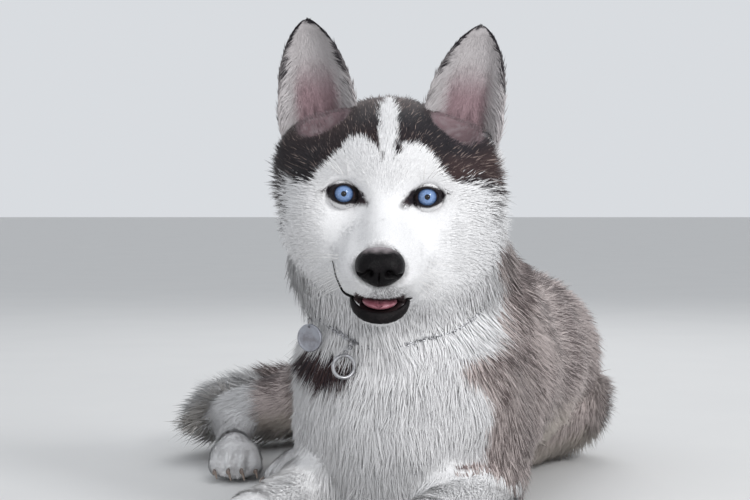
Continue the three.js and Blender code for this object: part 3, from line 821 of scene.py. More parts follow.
def depth_of_skin(skin_tree, spot, centre, look, missing):
    """How far the skin stands before the middle of an eye, met along the way the eye looks."""
    hit = skin_tree.ray_cast(Vector(spot + look * 0.05), Vector(-look))[0]
    return missing if hit is None else float((np.array(hit) - centre) @ look) / MM


def eye_surround(side, skin_tree):
    """Skin from the rim of an eye out over the eyeball to the face, as a closed hoop."""
    centre, look, right, raised = eye_frame(side)
    rings = []
    for angle in full_turn(SURROUND_SIDES):
        inner = lid_edge(angle, 8.6, 6.1, 2.2, 0.2, side)
        outer = lid_edge(angle, 15.0, 13.4, 2.6, 0.05, side)
        ring = []
        for number, share in enumerate(SURROUND_SHARES):
            under = number >= SURROUND_TOP
            x = inner[0] + (outer[0] - inner[0]) * share
            y = inner[1] + (outer[1] - inner[1]) * share
            reach = math.hypot(x, y)
            ball = math.sqrt(max(0.0, 10.9 ** 2 - reach * reach))
            spot = centre + (x * right + y * raised) * MM
            surface = depth_of_skin(skin_tree, spot, centre, look, ball)
            if reach < 10.4:
                surface = max(surface, ball)
            blend = smooth(0.35, 0.95, share)
            sink = 3.2 if under else 0.3 * share + smooth(0.8, 1, share)
            ring.append(spot + look * (ball * (1 - blend) + surface * blend - sink) * MM)
        rings.append(ring)
    points = np.array(rings).reshape(-1, 3)
    count = len(SURROUND_SHARES)
    faces = ring_faces(SURROUND_SIDES, count, closed_hoop=True)
    under = np.tile(np.arange(count) >= SURROUND_TOP, SURROUND_SIDES)
    return points, outward(points, quads_to_triangles(faces)), under


def shape_face(skin, region):
    """Clears the skin from the eyeballs, opens the bowls of the ears and lowers the upper lip."""
    head = to_head(skin)
    lip = smooth(-43, -50, head[:, 2]) * smooth(-12, -38, head[:, 1]) * smooth(30, 24, np.abs(head[:, 0]))
    head[:, 2] -= 5.5 * lip * (region == REGION["head"])
    for side in SIDES.values():
        centre = np.array([side * EYE_HALF_SPACE, EYE_SET_BACK, 0])
        offset = head - centre
        reach = np.linalg.norm(offset, axis=1)
        close = (reach < EYEBALL + 5) & (offset[:, 1] < 3)
        wanted = np.maximum(reach, EYEBALL + 0.6)
        sink = smooth(10.4, 8.4, np.hypot(offset[:, 0], offset[:, 2]))
        wanted = wanted * (1 - sink) + (EYEBALL - 2.5) * sink
        scale = np.where(close, wanted / np.maximum(reach, 0.1), 1)
        head = centre + offset * scale[:, None]
        bowl = BOWL_MIDDLE * [side, 1, 1]
        offset = (head - bowl) / BOWL_SIZE
        reach = np.linalg.norm(offset, axis=1)
        push = np.where(reach < 1, 1 / np.maximum(reach, 0.2), 1)
        head = bowl + offset * push[:, None] * BOWL_SIZE
    return from_head(head)


# The way that the claws of each paw point, over the ground
CLAW_WAYS = {
    "fore_right": (-0.33, -0.944), "fore_left": (-0.31, -0.951),
    "hind_left": (-0.45, -0.893), "hind_right": (0.1, -0.995),
}


def shape_paws(skin, normals, region):
    """Presses grooves between the toes, from between the claws back over each paw."""
    for paw, (x, y) in CLAW_WAYS.items():
        chosen = region == REGION[paw.replace("fore", "forepaw").replace("hind", "hindpaw")]
        claws = np.array([middle_of(f"claw_{paw}_{number}") for number in (1, 2, 3, 4)])
        back = -np.array([x, y])
        for first, second in zip(claws, claws[1:]):
            start = ((first + second) / 2)[:2] - back * 6 * MM
            offset = skin[:, :2] - start
            along = offset @ back
            aside = np.abs(offset @ np.array([-back[1], back[0]]))
            depth = 3.6 * np.exp(-((aside / (2.6 * MM)) ** 2)) * smooth(38 * MM, 16 * MM, along)
            depth *= chosen * smooth(-0.5, 0.1, normals[:, 2])
            skin = skin - normals * (depth * MM)[:, None]
    return skin


# Collar line

def collar_line(steps=120):
    """The middle line of the collar's hoop, read from its node."""
    points, _ = merged("collar")
    centre = points.mean(0)
    _, _, axes = np.linalg.svd(points - centre)
    flat = (points - centre) @ axes.T
    angles = np.arctan2(flat[:, 1], flat[:, 0])
    reach = np.hypot(flat[:, 0], flat[:, 1])
    wanted = np.linspace(-math.pi, math.pi, steps, endpoint=False)
    gap = np.abs((angles[None] - wanted[:, None] + math.pi) % (2 * math.pi) - math.pi)
    weight = np.exp(-((gap / 0.09) ** 2))
    radius = (weight * reach).sum(1) / weight.sum(1)
    height = (weight * flat[:, 2]).sum(1) / weight.sum(1)
    local = np.stack([radius * np.cos(wanted), radius * np.sin(wanted), height], 1)
    return centre + local @ axes


COLLAR_LINE = collar_line()


def collar_distance(points):
    return np.min([np.linalg.norm(points - spot, axis=1) for spot in COLLAR_LINE], axis=0)


def collar_height(points):
    """Height of the collar's line at its nearest place to each point."""
    gaps = np.array([np.linalg.norm(points - spot, axis=1) for spot in COLLAR_LINE])
    return COLLAR_LINE[np.argmin(gaps, axis=0), 2]


# Ears

EAR_LENGTH = 92
EAR_ROUND = 3.1
EAR_RINGS = 46
EAR_COLUMNS = 22
EAR_SWING = 0.16
# Folds of the inner ear: height, shift and slope across it, width, then middle and reach along it
EAR_FOLDS = (
    (6.5, 0.18, -0.5, 0.10, 0.16, 0.16),
    (5.0, -0.30, 0.25, 0.08, 0.2, 0.12),
    (3.0, 0.55, 0.0, 0.13, 0.3, 0.2),
)


def ear_half(share):
    """Half the width of an ear, by how far along its length."""
    return 29.8 * (1 - share ** EAR_ROUND) ** 0.72


def ear_point(side, share, spread, depth):
    x = ear_half(share) * (0.86 + 0.14 * min(1, share / 0.22)) * spread
    return (
        side * (49 + 13 * share ** 1.2 + x * math.cos(EAR_SWING) + depth * math.sin(EAR_SWING) * 0.3),
        52 + 24 * share + x * math.sin(EAR_SWING) + depth,
        18 + EAR_LENGTH * share - 5 * spread * (1 - share),
    )


def ear_relief(share, spread):
    """How far the inner surface of an ear stands forward."""
    relief = 0.0
    for height, shift, slope, width, middle, reach in EAR_FOLDS:
        across = (spread + shift + slope * share) / width
        along = (share - middle) / reach
        relief += height * math.exp(-(across ** 2)) * math.exp(-(along ** 2))
    return relief


def build_ear(side, region):
    """One ear as a cup that opens forwards: skin points, faces and the place of each on the ear."""
    spreads = np.linspace(-1, 1, EAR_COLUMNS + 1)
    rings, places = [], []
    for share in 0.982 * np.linspace(0, 1, EAR_RINGS) ** 0.9:
        cup = 24 * (1 - share) ** 0.75 * min(1, ear_half(share) / 14)
        wall = 1.2 + 2.6 * (1 - share)
        ring = []
        for spread in spreads:
            depth = cup * (1 - spread * spread) + 1.0 - ear_relief(share, spread)
            ring.append(ear_point(side, share, spread, depth))
            places.append((share, spread, 1.0))
        for spread in spreads[::-1]:
            depth = cup * (1 - spread * spread) + 2.4 + wall * math.sqrt(max(0.0, 1 - spread * spread))
            ring.append(ear_point(side, share, spread, depth))
            places.append((share, spread, 0.0))
        rings.append(ring)
    points, triangles = capped(rings)
    points = from_head(points)
    places = np.array([*places, (0.0, 0.0, 0.5), (1.0, 0.0, 0.5)])
    normals = point_normals(points, triangles)
    upward = np.zeros_like(points)
    grid = points[:-2].reshape(EAR_RINGS, -1, 3)
    upward[:-2] = np.gradient(grid, axis=0).reshape(-1, 3)
    upward[-2:] = head_turn[:, 2]
    lateral = np.zeros_like(points)
    lateral[:-2] = side * head_turn[:, 0]
    share, spread, front = places.T
    edge = smooth(0.35, 1.0, np.abs(spread))
    flow = unit(upward) + front[:, None] * edge[:, None] * (-np.sign(spread) * 0.8)[:, None] * lateral
    flow = along_surface(flow, normals)
    length = np.where(front > 0.5, 5 + 9 * edge * smooth(1.0, 0.3, share), 6.5 - 3 * edge)
    length *= 1 - 0.55 * smooth(0.8, 0.97, share)
    stand = np.where(front > 0.5, 24, 15)
    return {
        "points": points, "triangles": triangles, "normals": normals, "places": places,
        "flow": unit(flow), "length": length, "stand": np.radians(stand),
        "region": np.full(len(points), region),
    }


def ear_colours(places, points, grain):
    """Pink inside, darker low down with painted shade, white haired edges, and a black rim and back."""
    share, spread, front = places.T
    ragged = 0.05 * lattice_noise(points, 3.0, 21)
    edge = np.abs(spread) + ragged
    bare = smooth(0.92, 0.35, edge + 0.55 * smooth(0.45, 0.95, share))
    inner = blend_rows(EAR_WHITE, PINK, bare * smooth(0.75, 0.35, share))
    # Painted shade: the pink is darker low in the middle of the ear, in its folds.
    base_shade = smooth(0.3, 0.05, share) * smooth(0.8, 0.3, edge)
    inner = blend_rows(inner, PINK * np.array([0.8, 0.7, 0.73]), 0.7 * base_shade)
    rim_start = 1.02 - 0.05 * smooth(0.4, 0.7, share) - 0.2 * smooth(0.78, 0.98, share)
    rim = smooth(-0.03, 0.03, edge - rim_start) * smooth(0.2, 0.4, share)
    rim = np.maximum(rim, smooth(0.945, 0.975, share + 0.5 * ragged))
    inner = blend_rows(inner, BLACK, rim)
    back = blend_rows(BLACK * 1.3, BROWN, 0.4 * smooth(0.4, 0.8, grain))
    pale = smooth(0.78, 0.92, edge) * smooth(0.80, 0.55, share)
    back = blend_rows(back, EAR_EDGE_GREY, pale)
    return blend_rows(back, inner, front)


# Coat

# The corners of each face of a tuft, and how far along the tuft each corner is
LEAF = np.array([(0, 1, 2), (3, 2, 1), (0, 3, 1), (0, 2, 3)])
ALONG = np.array([0.0, 0.42, 0.42, 1.0])
# Most tufts to a square millimetre, and the side of a tuft's patch on the map
MOST_TO_AREA = 3.2
PATCH = 0.003
# Most tufts in one coat piece
MOST_TUFTS = 48000


def hair_width(length):
    return 0.64 + 0.006 * length


def hair_layers(length):
    return 3.2 + 0.125 * length


def scatter(base, rng, thin=None):
    """Root points spread over a base, more where the hair is short and fine."""
    points, triangles = base["points"], base["triangles"]
    a, b, c = points[triangles.T]
    area = np.linalg.norm(np.cross(b - a, c - a), axis=1) / 2
    length = base["length"][triangles].mean(1)
    tufts = hair_layers(length) * 2 / (length * hair_width(length))
    per_area = np.minimum(tufts, MOST_TO_AREA) / MM ** 2
    if thin is not None:
        per_area = per_area * thin[triangles].mean(1)
    running = np.cumsum(area * per_area)
    count = int(running[-1])
    chosen = np.searchsorted(running, np.arange(count) + rng.uniform(0, 1, count))
    chosen = np.minimum(chosen, len(triangles) - 1)
    first, second = rng.uniform(0, 1, count), rng.uniform(0, 1, count)
    over = first + second > 1
    first[over], second[over] = 1 - first[over], 1 - second[over]
    weights = np.stack([1 - first - second, first, second], 1)
    corners = triangles[chosen]

    def at(values):
        rows = values[corners]
        return (rows * (weights[..., None] if rows.ndim == 3 else weights)).sum(1)

    names = ("points", "normals", "flow", "length", "stand", "places")
    roots = {name: at(base[name]) for name in names if name in base}
    roots["normals"] = unit(roots["normals"])
    roots["flow"] = unit(along_surface(roots["flow"], roots["normals"]))
    roots["region"] = base["region"][corners[:, 0]]
    roots["grain"] = rng.uniform(0, 1, count)
    return roots


def keep_roots(roots, keep):
    return {name: values[keep] for name, values in roots.items()}


def tuft_shapes(roots, rng):
    """Each tuft as a thin bent leaf of four corners: root, two sides and tip, with its shading normals."""
    points, normal, flow = roots["points"], roots["normals"], roots["flow"]
    count = len(points)
    wander = 0.30 * lattice_noise(points, 9.0, 31) + 0.26 * lattice_noise(points, 27.0, 36)
    wander += rng.normal(0, 0.15, count)
    side = np.cross(flow, normal)
    flow = flow * np.cos(wander)[:, None] + side * np.sin(wander)[:, None]
    side = np.cross(flow, normal)
    guard = rng.uniform(0, 1, count) < 0.08
    length = roots["length"] * rng.uniform(0.65, 1.2, count) * (1 + 0.10 * lattice_noise(points, 14.0, 32))
    length = np.minimum(length * np.where(guard, 1.3, 1.0), 1.36 * roots["length"])
    stand = roots["stand"] * rng.uniform(0.65, 1.35, count) * (1 + 0.25 * lattice_noise(points, 12.0, 33))
    width = hair_width(roots["length"]) * rng.uniform(0.7, 1.25, count) * np.where(guard, 0.6, 1.0)
    length, width = length[:, None] * MM, width[:, None] * MM

    def way(angle):
        return flow * np.cos(angle)[:, None] + normal * np.sin(angle)[:, None]

    root = points - normal * (0.8 * MM)
    bend = np.minimum(0.5 * stand, 3.6 * width[:, 0] / length[:, 0])
    rise = way(stand + math.pi / 2) * width * 0.15
    middle = root + way(0.9 * stand + 0.5 * bend) * length * 0.42 + rise
    tip = middle + way(0.9 * stand - 0.5 * bend) * length * 0.60
    corners = np.stack([root, middle + side * width * 0.5, middle - side * width * 0.5, tip], 1)
    corners[..., 2] = np.maximum(corners[..., 2], FLOOR_CLEARANCE)
    lean = np.array([0.0, 0.35, -0.35, 0.0])[None, :, None]
    shading = normal[:, None] + lean * side[:, None] + 0.15 * ALONG[None, :, None] * flow[:, None]
    return corners, unit(shading)


def grow(name, roots, colours, seed, layout, material):
    """One coat piece: its tufts joined in one mesh, painted, with a patch of the map for each."""
    rng = np.random.default_rng(seed)
    corners, shading = tuft_shapes(roots, rng)
    count = len(corners)
    a, b, c, tip = (corners[:, index] for index in range(4))
    inside_out = dots(a - tip, np.cross(b - tip, c - tip)) < 0
    faces = np.where(inside_out[:, None, None], LEAF[:, ::-1], LEAF)
    triangles = (np.arange(count)[:, None, None] * 4 + faces).reshape(-1, 3)
    piece = new_piece(name, corners.reshape(-1, 3), triangles, material)
    low, tip_colour = colours
    streaks = lattice_noise(roots["points"], 2.2, 34) + 0.6 * lattice_noise(roots["points"], 5.0, 35)
    contrast = np.where(low.mean(1) > 0.45, 0.35, 1.0)
    tone = (1 + contrast * (rng.uniform(-0.16, 0.09, count) + 0.07 * streaks))[:, None, None]
    shade = low[:, None] * (1 - ALONG[None, :, None]) + tip_colour[:, None] * ALONG[None, :, None]
    depth_shade = 1 - 0.13 * contrast[:, None] * (1 - np.minimum(1, ALONG / 0.4))
    shade = shade * tone * depth_shade[..., None]
    paint(piece, "coat_colour", shade.reshape(-1, 3))
    across, up = layout
    patch = np.empty((count, 4, 2))
    patch[..., 0] = across[:, None] + PATCH * np.array([0, 0.5, -0.5, 0])[None]
    patch[..., 1] = up[:, None] + PATCH * ALONG[None]
    layer = piece.data.uv_layers.new(name="OFBake")
    layer.uv.foreach_set("vector", patch.reshape(-1, 2)[triangles.ravel()].astype(np.float32).ravel())
    piece.data.normals_split_custom_set_from_vertices(shading.reshape(-1, 3))
    return piece


# Where each region's axis starts and ends, in ground space
AXES = {
    **LIMBS,
    "neck": ((7, 40, 260), (34, 120, 120)),
    "chest": ((16, -20, 110), (56, 190, 100)),
    "barrel": ((56, 190, 100), (92, 300, 96)),
    "hips": ((92, 300, 96), (120, 460, 92)),
}


def unwrap(points, region, cells):
    """Unwraps the skin: a strip of the map for each region, across round its axis and up along it."""
    ground, head = to_ground(points), to_head(points)
    across, up = np.zeros(len(points)), np.zeros(len(points))
    for cell, name in enumerate(cells):
        chosen = region == REGION[name]
        if not chosen.any():
            continue
        if name in AXES:
            start, end = np.array(AXES[name], float)
            axis = unit(end - start)
            offset = ground[chosen] - start
            along = offset @ axis
            side = unit(np.cross(axis, [0.1, 0.2, 1.0]))
            angle = np.arctan2(offset @ np.cross(side, axis), offset @ side)
        else:
            along = head[chosen][:, 1]
            angle = np.arctan2(head[chosen][:, 0], head[chosen][:, 2] + 25)
        span = max(np.ptp(along), 1e-6)
        across[chosen] = (cell + 0.02 + 0.96 * (angle / (2 * math.pi) + 0.5)) / len(cells)
        up[chosen] = 0.005 + 0.985 * (along - along.min()) / span
    return across, up


def coat_tones(roots, rng):
    """Colour low on each tuft and at its tip."""
    jitter = rng.normal(0, 0.5, roots["points"].shape) * MM
    colour, dark = markings(roots["points"] + jitter, roots["normals"], roots["region"], roots["grain"])
    saddle_like = np.isin(roots["region"], TORSO_REGIONS + GREY_LIMB_REGIONS)
    low = np.where((saddle_like & (dark > 0.3))[:, None], 0.5 * colour + 0.5 * PALE_GREY, colour)
    tip = colour * np.where(dark > 0.5, 0.85, 1.06)[:, None]
    return low, tip


LIP_FRONT = -67.4


def lip_height(x):
    """Height of the middle of the lower lip in head space."""
    turned = np.sqrt(np.clip(1 - np.square(x / 19.2), 0, 1))
    return LIP_FRONT + 8.6 * (1 - turned) ** 1.1


def in_mouth(head, normals, region):
    """Where the skin lines the mouth: its roof, and the jaw behind the lower lip."""
    head_x, head_y, head_z = head.T
    side = np.abs(head_x)
    near = (side < 20) & (head_y < -9) & (head_y > -60)
    facing_down = normals @ head_turn[:, 2] < -0.6
    roof = (side < 17) & (region == REGION["head"]) & (head_z < -49) & facing_down
    jaw = (head_z > lip_height(head_x) - 3.0) & (head_z < -57)
    return near & (roof | jaw)


def bare_skin(roots):
    """Where no hair grows: round the eyes, on the nose leather and inside the mouth."""
    head = to_head(roots["points"])
    head_x, head_y, head_z = head.T
    bare = in_mouth(head, roots["normals"], roots["region"])
    bare |= eye_reach(head) < 0.9
    bare |= (np.hypot(head_x / 15, (head_z + 29) / 11.5) < 1) & (head_y < -58)
    return bare


# Eyes and lids

LID_SIDES = 56
# Places across the rim of an eye, and how far each stands off
LID_PROFILE = ((0.0, -2.6), (0.0, 0.05), (0.14, 0.75), (0.4, 0.8), (0.7, 0.45), (1.0, 0.1), (1.12, -2.2))


def build_eyeball(name, side, material):
    """An eyeball whose clear front bulges over the iris."""
    centre, look, right, raised = eye_frame(side)
    rings, plane = [], []
    around = full_turn(48)
    for tilt in np.concatenate([np.linspace(1.5, 60, 34), np.linspace(66, 178, 16)]):
        angle = math.radians(tilt)
        radius = EYEBALL + 1.3 * (1 - smooth(0, 44, tilt)) - 0.1
        across, above = np.cos(around) * math.sin(angle), np.sin(around) * math.sin(angle)
        offset = across[:, None] * right + above[:, None] * raised + math.cos(angle) * look
        rings.append(centre + offset * radius * MM)
        plane.append(np.stack([across, above], 1) * EYEBALL)
    eyeball = lofted(name, rings, material)
    flat = np.vstack([np.array(plane).reshape(-1, 2), [[0, 0], [0, 0]]])
    layer = eyeball.data.uv_layers.new(name="iris")
    corners = np.empty(len(eyeball.data.loops), np.int32)
    eyeball.data.loops.foreach_get("vertex_index", corners)
    layer.uv.foreach_set("vector", (0.5 + flat[corners] / 24).astype(np.float32).ravel())
    return eyeball


def build_lids(name, side, skin_tree, material):
    """The black rim round an eye, from the eyeball out under the hair."""
    centre, look, right, raised = eye_frame(side)
    rings = []
    for angle in full_turn(LID_SIDES):
        inner = lid_edge(angle, 7.6, 5.75, 1.4, 0.15, side)
        outer = lid_edge(angle, 10.6, 6.9, 2.4, 0.22, side)
        ring = []
        for share, lift in LID_PROFILE:
            x = inner[0] + (outer[0] - inner[0]) * share
            y = inner[1] + (outer[1] - inner[1]) * share
            spot = centre + (x * right + y * raised) * MM
            reach = math.hypot(x, y)
            ball = math.sqrt(max(0.0, 10.75 ** 2 - reach * reach))
            surface = depth_of_skin(skin_tree, spot, centre, look, ball)
            blend = smooth(0.25, 1.0, min(share, 1.0))
            depth = ball * (1 - blend) + (surface + 0.3) * blend
            if share < 0.3:
                depth = max(depth, 0)
            ring.append(spot + look * (depth + lift) * MM)
        rings.append(ring)
    return hoop_piece(name, rings, material)


# Nose, mouth and whiskers

def ellipsoid_gap(points, centre, radii):
    offset = points - np.asarray(centre, float)
    near = np.linalg.norm(offset / radii, axis=-1)
    slope = np.linalg.norm(offset / np.square(radii), axis=-1)
    return near * (near - 1) / np.maximum(slope, 1e-9)


def soft_union(size, *gaps):
    total = gaps[0]
    for gap in gaps[1:]:
        overlap = np.maximum(size - np.abs(total - gap), 0) / size
        total = np.minimum(total, gap) - overlap * overlap * size / 4
    return total


def soft_cut(size, body, cut):
    return -soft_union(size, -body, cut)


NOSE_SIDES = 88


def nose_gap(points):
    """Distance outside the nose leather, in head space."""
    body = soft_union(
        6,
        ellipsoid_gap(points, (0, -62.5, -27), (13.5, 12, 9.6)),
        ellipsoid_gap(points, (8.2, -63.5, -30), (8.2, 12, 9)),
        ellipsoid_gap(points, (-8.2, -63.5, -30), (8.2, 12, 9)),
        ellipsoid_gap(points, (0, -66.0, -35), (8.6, 8, 7.6)),
    )
    for side in SIDES.values():
        body = soft_cut(2.0, body, ellipsoid_gap(points, (side * 6.6, -77.5, -31.5), (3.3, 8, 2.9)))
        body = soft_cut(1.5, body, ellipsoid_gap(points, (side * 11.0, -72, -32.8), (4.2, 6.4, 1.0)))
    return soft_cut(1.0, body, ellipsoid_gap(points, (0, -78, -38), (0.7, 5.5, 9)))


def build_nose(material):
    """Nose leather, seen from its middle in every direction."""
    middle = np.array([0, -61.0, -29])
    around = full_turn(NOSE_SIDES)
    rings = []
    for tilt in np.linspace(1.5, 178.5, 64):
        angle = math.radians(tilt)
        ahead = np.full(NOSE_SIDES, -math.cos(angle))
        way = np.stack([np.cos(around) * math.sin(angle), ahead, np.sin(around) * math.sin(angle)], 1)
        near = np.zeros(NOSE_SIDES)
        for step in np.linspace(0.5, 26, 90):
            inside = nose_gap(middle + way * step) < 0
            near = np.where(inside, step, near)
        far = near + 0.6
        for _ in range(12):
            half = (near + far) / 2
            inside = nose_gap(middle + way * half[:, None]) < 0
            near, far = np.where(inside, half, near), np.where(inside, far, half)
        rings.append(from_head(middle + way * near[:, None]))
    return lofted("nose_leather", rings, material)


def build_lower_lip(material):
    """The black lower lip, round the front of the jaw."""
    angles = np.radians(np.linspace(-88, 88, 41))
    path = np.stack([
        19.2 * np.sin(angles),
        -41 - 17.5 * np.cos(angles),
        lip_height(19.2 * np.sin(angles)),
    ], 1)
    high = 1.7 + 2.4 * np.cos(angles) ** 0.8
    thick = 1.3 + 1.0 * np.cos(angles)
    thick[[0, -1]], high[[0, -1]] = 0.6, 0.8
    ripple = 0.12 * np.sin(np.arange(41) * 1.9)
    rings = sweep(path, np.stack([thick + 0.3 * ripple, high + ripple], 1), 18, up=(0, 0.22, 1))
    return lofted("lower_lip", from_head(rings), material)


def build_upper_lip(side, skin_tree, material):
    """The black edge of the upper lip, from under the nose to the corner of the mouth."""
    path = np.array([(18, -43, -59.5), (19.5, -41, -58.5), (21, -39, -57)])
    if side < 0:
        path[2] = (24, -34, -54.5)
        path = np.vstack([path, [(27, -27, -49.5), (30, -19, -44), (31.5, -15, -42)]])
    count = 30
    path = from_head(resampled(path * np.array([side, 1, 1]), count))
    for index in range(count):
        spot, normal, _, _ = skin_tree.find_nearest(Vector(path[index]))
        path[index] = spot + normal * 0.9 * MM
    path[1:-1] = (path[:-2] + 2 * path[1:-1] + path[2:]) / 4
    share = np.linspace(0, 1, count)
    wide = 0.8 - 0.5 * smooth(0.2, 1, share)
    high = 0.9 - 0.55 * smooth(0.2, 1, share)
    wide[[0, -1]], high[[0, -1]] = 0.3, 0.3
    rings = sweep(path, np.stack([wide, high], 1) * MM, 10)
    return lofted("upper_lip_" + ("left" if side > 0 else "right"), rings, material)


def resampled(path, count):
    """Points evenly spread on a smooth curve through the given ones."""
    path = np.asarray(path, float)
    padded = np.vstack([2 * path[0] - path[1], path, 2 * path[-1] - path[-2]])
    fine = []
    for index in range(len(path) - 1):
        p0, p1, p2, p3 = padded[index:index + 4]
        for share in np.linspace(0, 1, 16, endpoint=False):
            fine.append(0.5 * (2 * p1 + (p2 - p0) * share + (2 * p0 - 5 * p1 + 4 * p2 - p3) * share ** 2
                               + (3 * p1 - p0 - 3 * p2 + p3) * share ** 3))
    fine = np.array(fine + [path[-1]])
    steps = np.concatenate([[0], np.cumsum(np.linalg.norm(np.diff(fine, axis=0), axis=1))])
    wanted = np.linspace(0, steps[-1], count)
    return np.stack([np.interp(wanted, steps, fine[:, axis]) for axis in range(3)], 1)


def build_tongue(material):
    """The tongue, with a groove along its middle."""
    around = full_turn(36)
    rings = []
    for share in np.linspace(0, 1, 34):
        y = -56.5 + 42 * share
        half = 12.2 * math.sqrt(max(0.02, 1 - max(0.0, (0.26 - share) / 0.26) ** 2)) * (1 - 0.15 * share)
        thick = 3.4 * math.sqrt(max(0.03, 1 - max(0.0, (0.2 - share) / 0.2) ** 2))
        x = half * np.cos(around)
        z = thick * np.sin(around) - 60.6 + 1.2 * (x / 12) ** 2
        groove = 1.1 * np.exp(-((x / 1.3) ** 2)) * (np.sin(around) > 0)
        rings.append(from_head(np.stack([x, np.full(len(x), y), z - groove], 1)))
    return lofted("tongue_top", rings, material)


def build_whiskers(material):
    """Whiskers in rows on the muzzle, and a few above the eyes."""
    rng = np.random.default_rng(51)
    roots = []
    for side in SIDES.values():
        for row, height in enumerate((-35.5, -39.5, -43.5)):
            for column in range(4):
                spot = (side * (14.5 + 2.0 * column), -52 + 5.5 * column, height + 0.8 * column)
                roots.append((spot, (side * 0.9, 0.35 + 0.1 * column, -0.25 - 0.12 * row), 34 + 5 * column))
        for spread in (-3, 0, 3):
            spot = (side * (29 + spread), -2, 15.5 + 0.3 * spread)
            roots.append((spot, (side * (0.35 + 0.1 * spread), -0.3, 0.9), 21))
    count, around = 9, 5
    first, last = 0, (count - 1) * around
    fan = [(first, first + beside + 1, first + beside) for beside in (3, 2, 1)]
    fan += [(last, last + beside, last + beside + 1) for beside in (1, 2, 3)]
    whisker_faces = np.vstack([quads_to_triangles(ring_faces(count, around)), fan])
    points, faces = [], []
    for spot, way, long in roots:
        way = unit(np.array(way) + rng.normal(0, 0.09, 3))
        length = long * rng.uniform(0.8, 1.15)
        share = np.linspace(0, 1, count)[:, None]
        path = np.array(spot) + way * length * share + np.array([0, 0.08, -0.16]) * length * share ** 2
        rings = sweep(from_head(path), 0.26 * MM * (1 - 0.85 * share[:, 0]), around)
        faces.append(whisker_faces + len(points) * count * around)
        points.append(rings.reshape(-1, 3))
    points, faces = np.vstack(points), np.vstack(faces)
    return new_piece("whiskers", points, outward(points, faces), material)


# Claws

def build_claw(node, ahead, material):
    """A curved claw, from inside the toe to its point."""
    low, high = (np.array(corner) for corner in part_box(node))
    root = np.array([high[0] if ahead[0] < 0 else low[0], high[1], high[2]])
    point = np.array([low[0] if ahead[0] < 0 else high[0], low[1], low[2]])
    way = unit(np.array([ahead[0], ahead[1], 0]))
    start = root + np.array([0.9 * np.sign(ahead[0]) * MM, 0, -1.6 * MM]) - way * 6 * MM
    top = (root + point) / 2 + [0, 0, 1.0 * MM]
    count = 14
    path = resampled(np.array([start, root - [0, 0, 2.0 * MM], top, point]), count)
    radius = (2.5 - 1.9 * np.linspace(0, 1, count) ** 1.4) * MM
    rings = sweep(path, np.stack([0.72 * radius, radius], 1), 12)
    return lofted(node.replace("claw", "nail"), rings, material)


# Chain and tag

# Sizes of the collar's chain, in metres
CHAIN_SIZES = {"Pitch": 0.0031, "Link length": 0.0044, "Link width": 0.0030, "Wire": 0.00045}


def chain_tree(material):
    """Geometry nodes that lay oval links along a line, each turned a quarter from the one before."""
    tree = bpy.data.node_groups.new("collar chain", "GeometryNodeTree")
    sockets = tree.interface
    sockets.new_socket(name="Line", in_out="INPUT", socket_type="NodeSocketGeometry")
    for name, size in CHAIN_SIZES.items():
        made = sockets.new_socket(name=name, in_out="INPUT", socket_type="NodeSocketFloat")
        made.default_value = size
    sockets.new_socket(name="Chain", in_out="OUTPUT", socket_type="NodeSocketGeometry")

    def add(kind, inputs, **settings):
        """A node with its inputs joined or set. Gives its first output."""
        node = tree.nodes.new(kind)
        for key, value in settings.items():
            setattr(node, key, value)
        for key, value in inputs.items():
            if isinstance(value, bpy.types.NodeSocket):
                tree.links.new(value, node.inputs[key])
            else:
                node.inputs[key].default_value = value
        return node.outputs[0] if len(node.outputs) else None

    given = tree.nodes.new("NodeGroupInput").outputs
    curve = add("GeometryNodeMeshToCurve", {0: given["Line"]})
    spaced = add("GeometryNodeResampleCurve", {"Curve": curve, "Length": given["Pitch"]}, mode="LENGTH")

    circle = add("GeometryNodeCurvePrimitiveCircle", {"Resolution": 12, "Radius": 0.5})
    size = add("ShaderNodeCombineXYZ", {0: given["Link length"], 1: given["Link width"]})
    oval = add("GeometryNodeTransform", {"Geometry": circle, "Scale": size})
    section = add("GeometryNodeCurvePrimitiveCircle", {"Resolution": 6, "Radius": given["Wire"]})
    link = add("GeometryNodeCurveToMesh", {0: oval, 1: section})

    tangent = add("GeometryNodeInputTangent", {})
    along = add("FunctionNodeAlignRotationToVector", {"Vector": tangent}, axis="X")
    index = add("GeometryNodeInputIndex", {})
    quarter = add("ShaderNodeMath", {0: index, 1: math.pi / 2}, operation="MULTIPLY")
    roll = add("ShaderNodeCombineXYZ", {0: quarter})
    turned = add("FunctionNodeRotateRotation", {0: along, 1: roll}, rotation_space="LOCAL")
    placed = add("GeometryNodeInstanceOnPoints", {"Points": spaced, "Instance": link, "Rotation": turned})
    real = add("GeometryNodeRealizeInstances", {0: placed})
    add("NodeGroupOutput", {0: add("GeometryNodeSetMaterial", {0: real, "Material": material})})
    return tree


def collar_path(skin_tree):
    """The collar's line, laid on the skin under the coat where the photograph shows none of it."""
    ground = to_ground(COLLAR_LINE)
    under = smooth(-24, -14, ground[:, 0])
    under = np.maximum(under, 0.6 * smooth(-40, -35, ground[:, 0]) * smooth(-26, -31, ground[:, 0]))
    laid = np.empty_like(COLLAR_LINE)
    for index, spot in enumerate(COLLAR_LINE):
        on_skin, normal, _, _ = skin_tree.find_nearest(Vector(spot))
        laid[index] = on_skin + normal * 2.2 * MM
    path = blend_rows(COLLAR_LINE, laid, under)
    for _ in range(3):
        path = (np.roll(path, 1, axis=0) + 2 * path + np.roll(path, -1, axis=0)) / 4
    return path


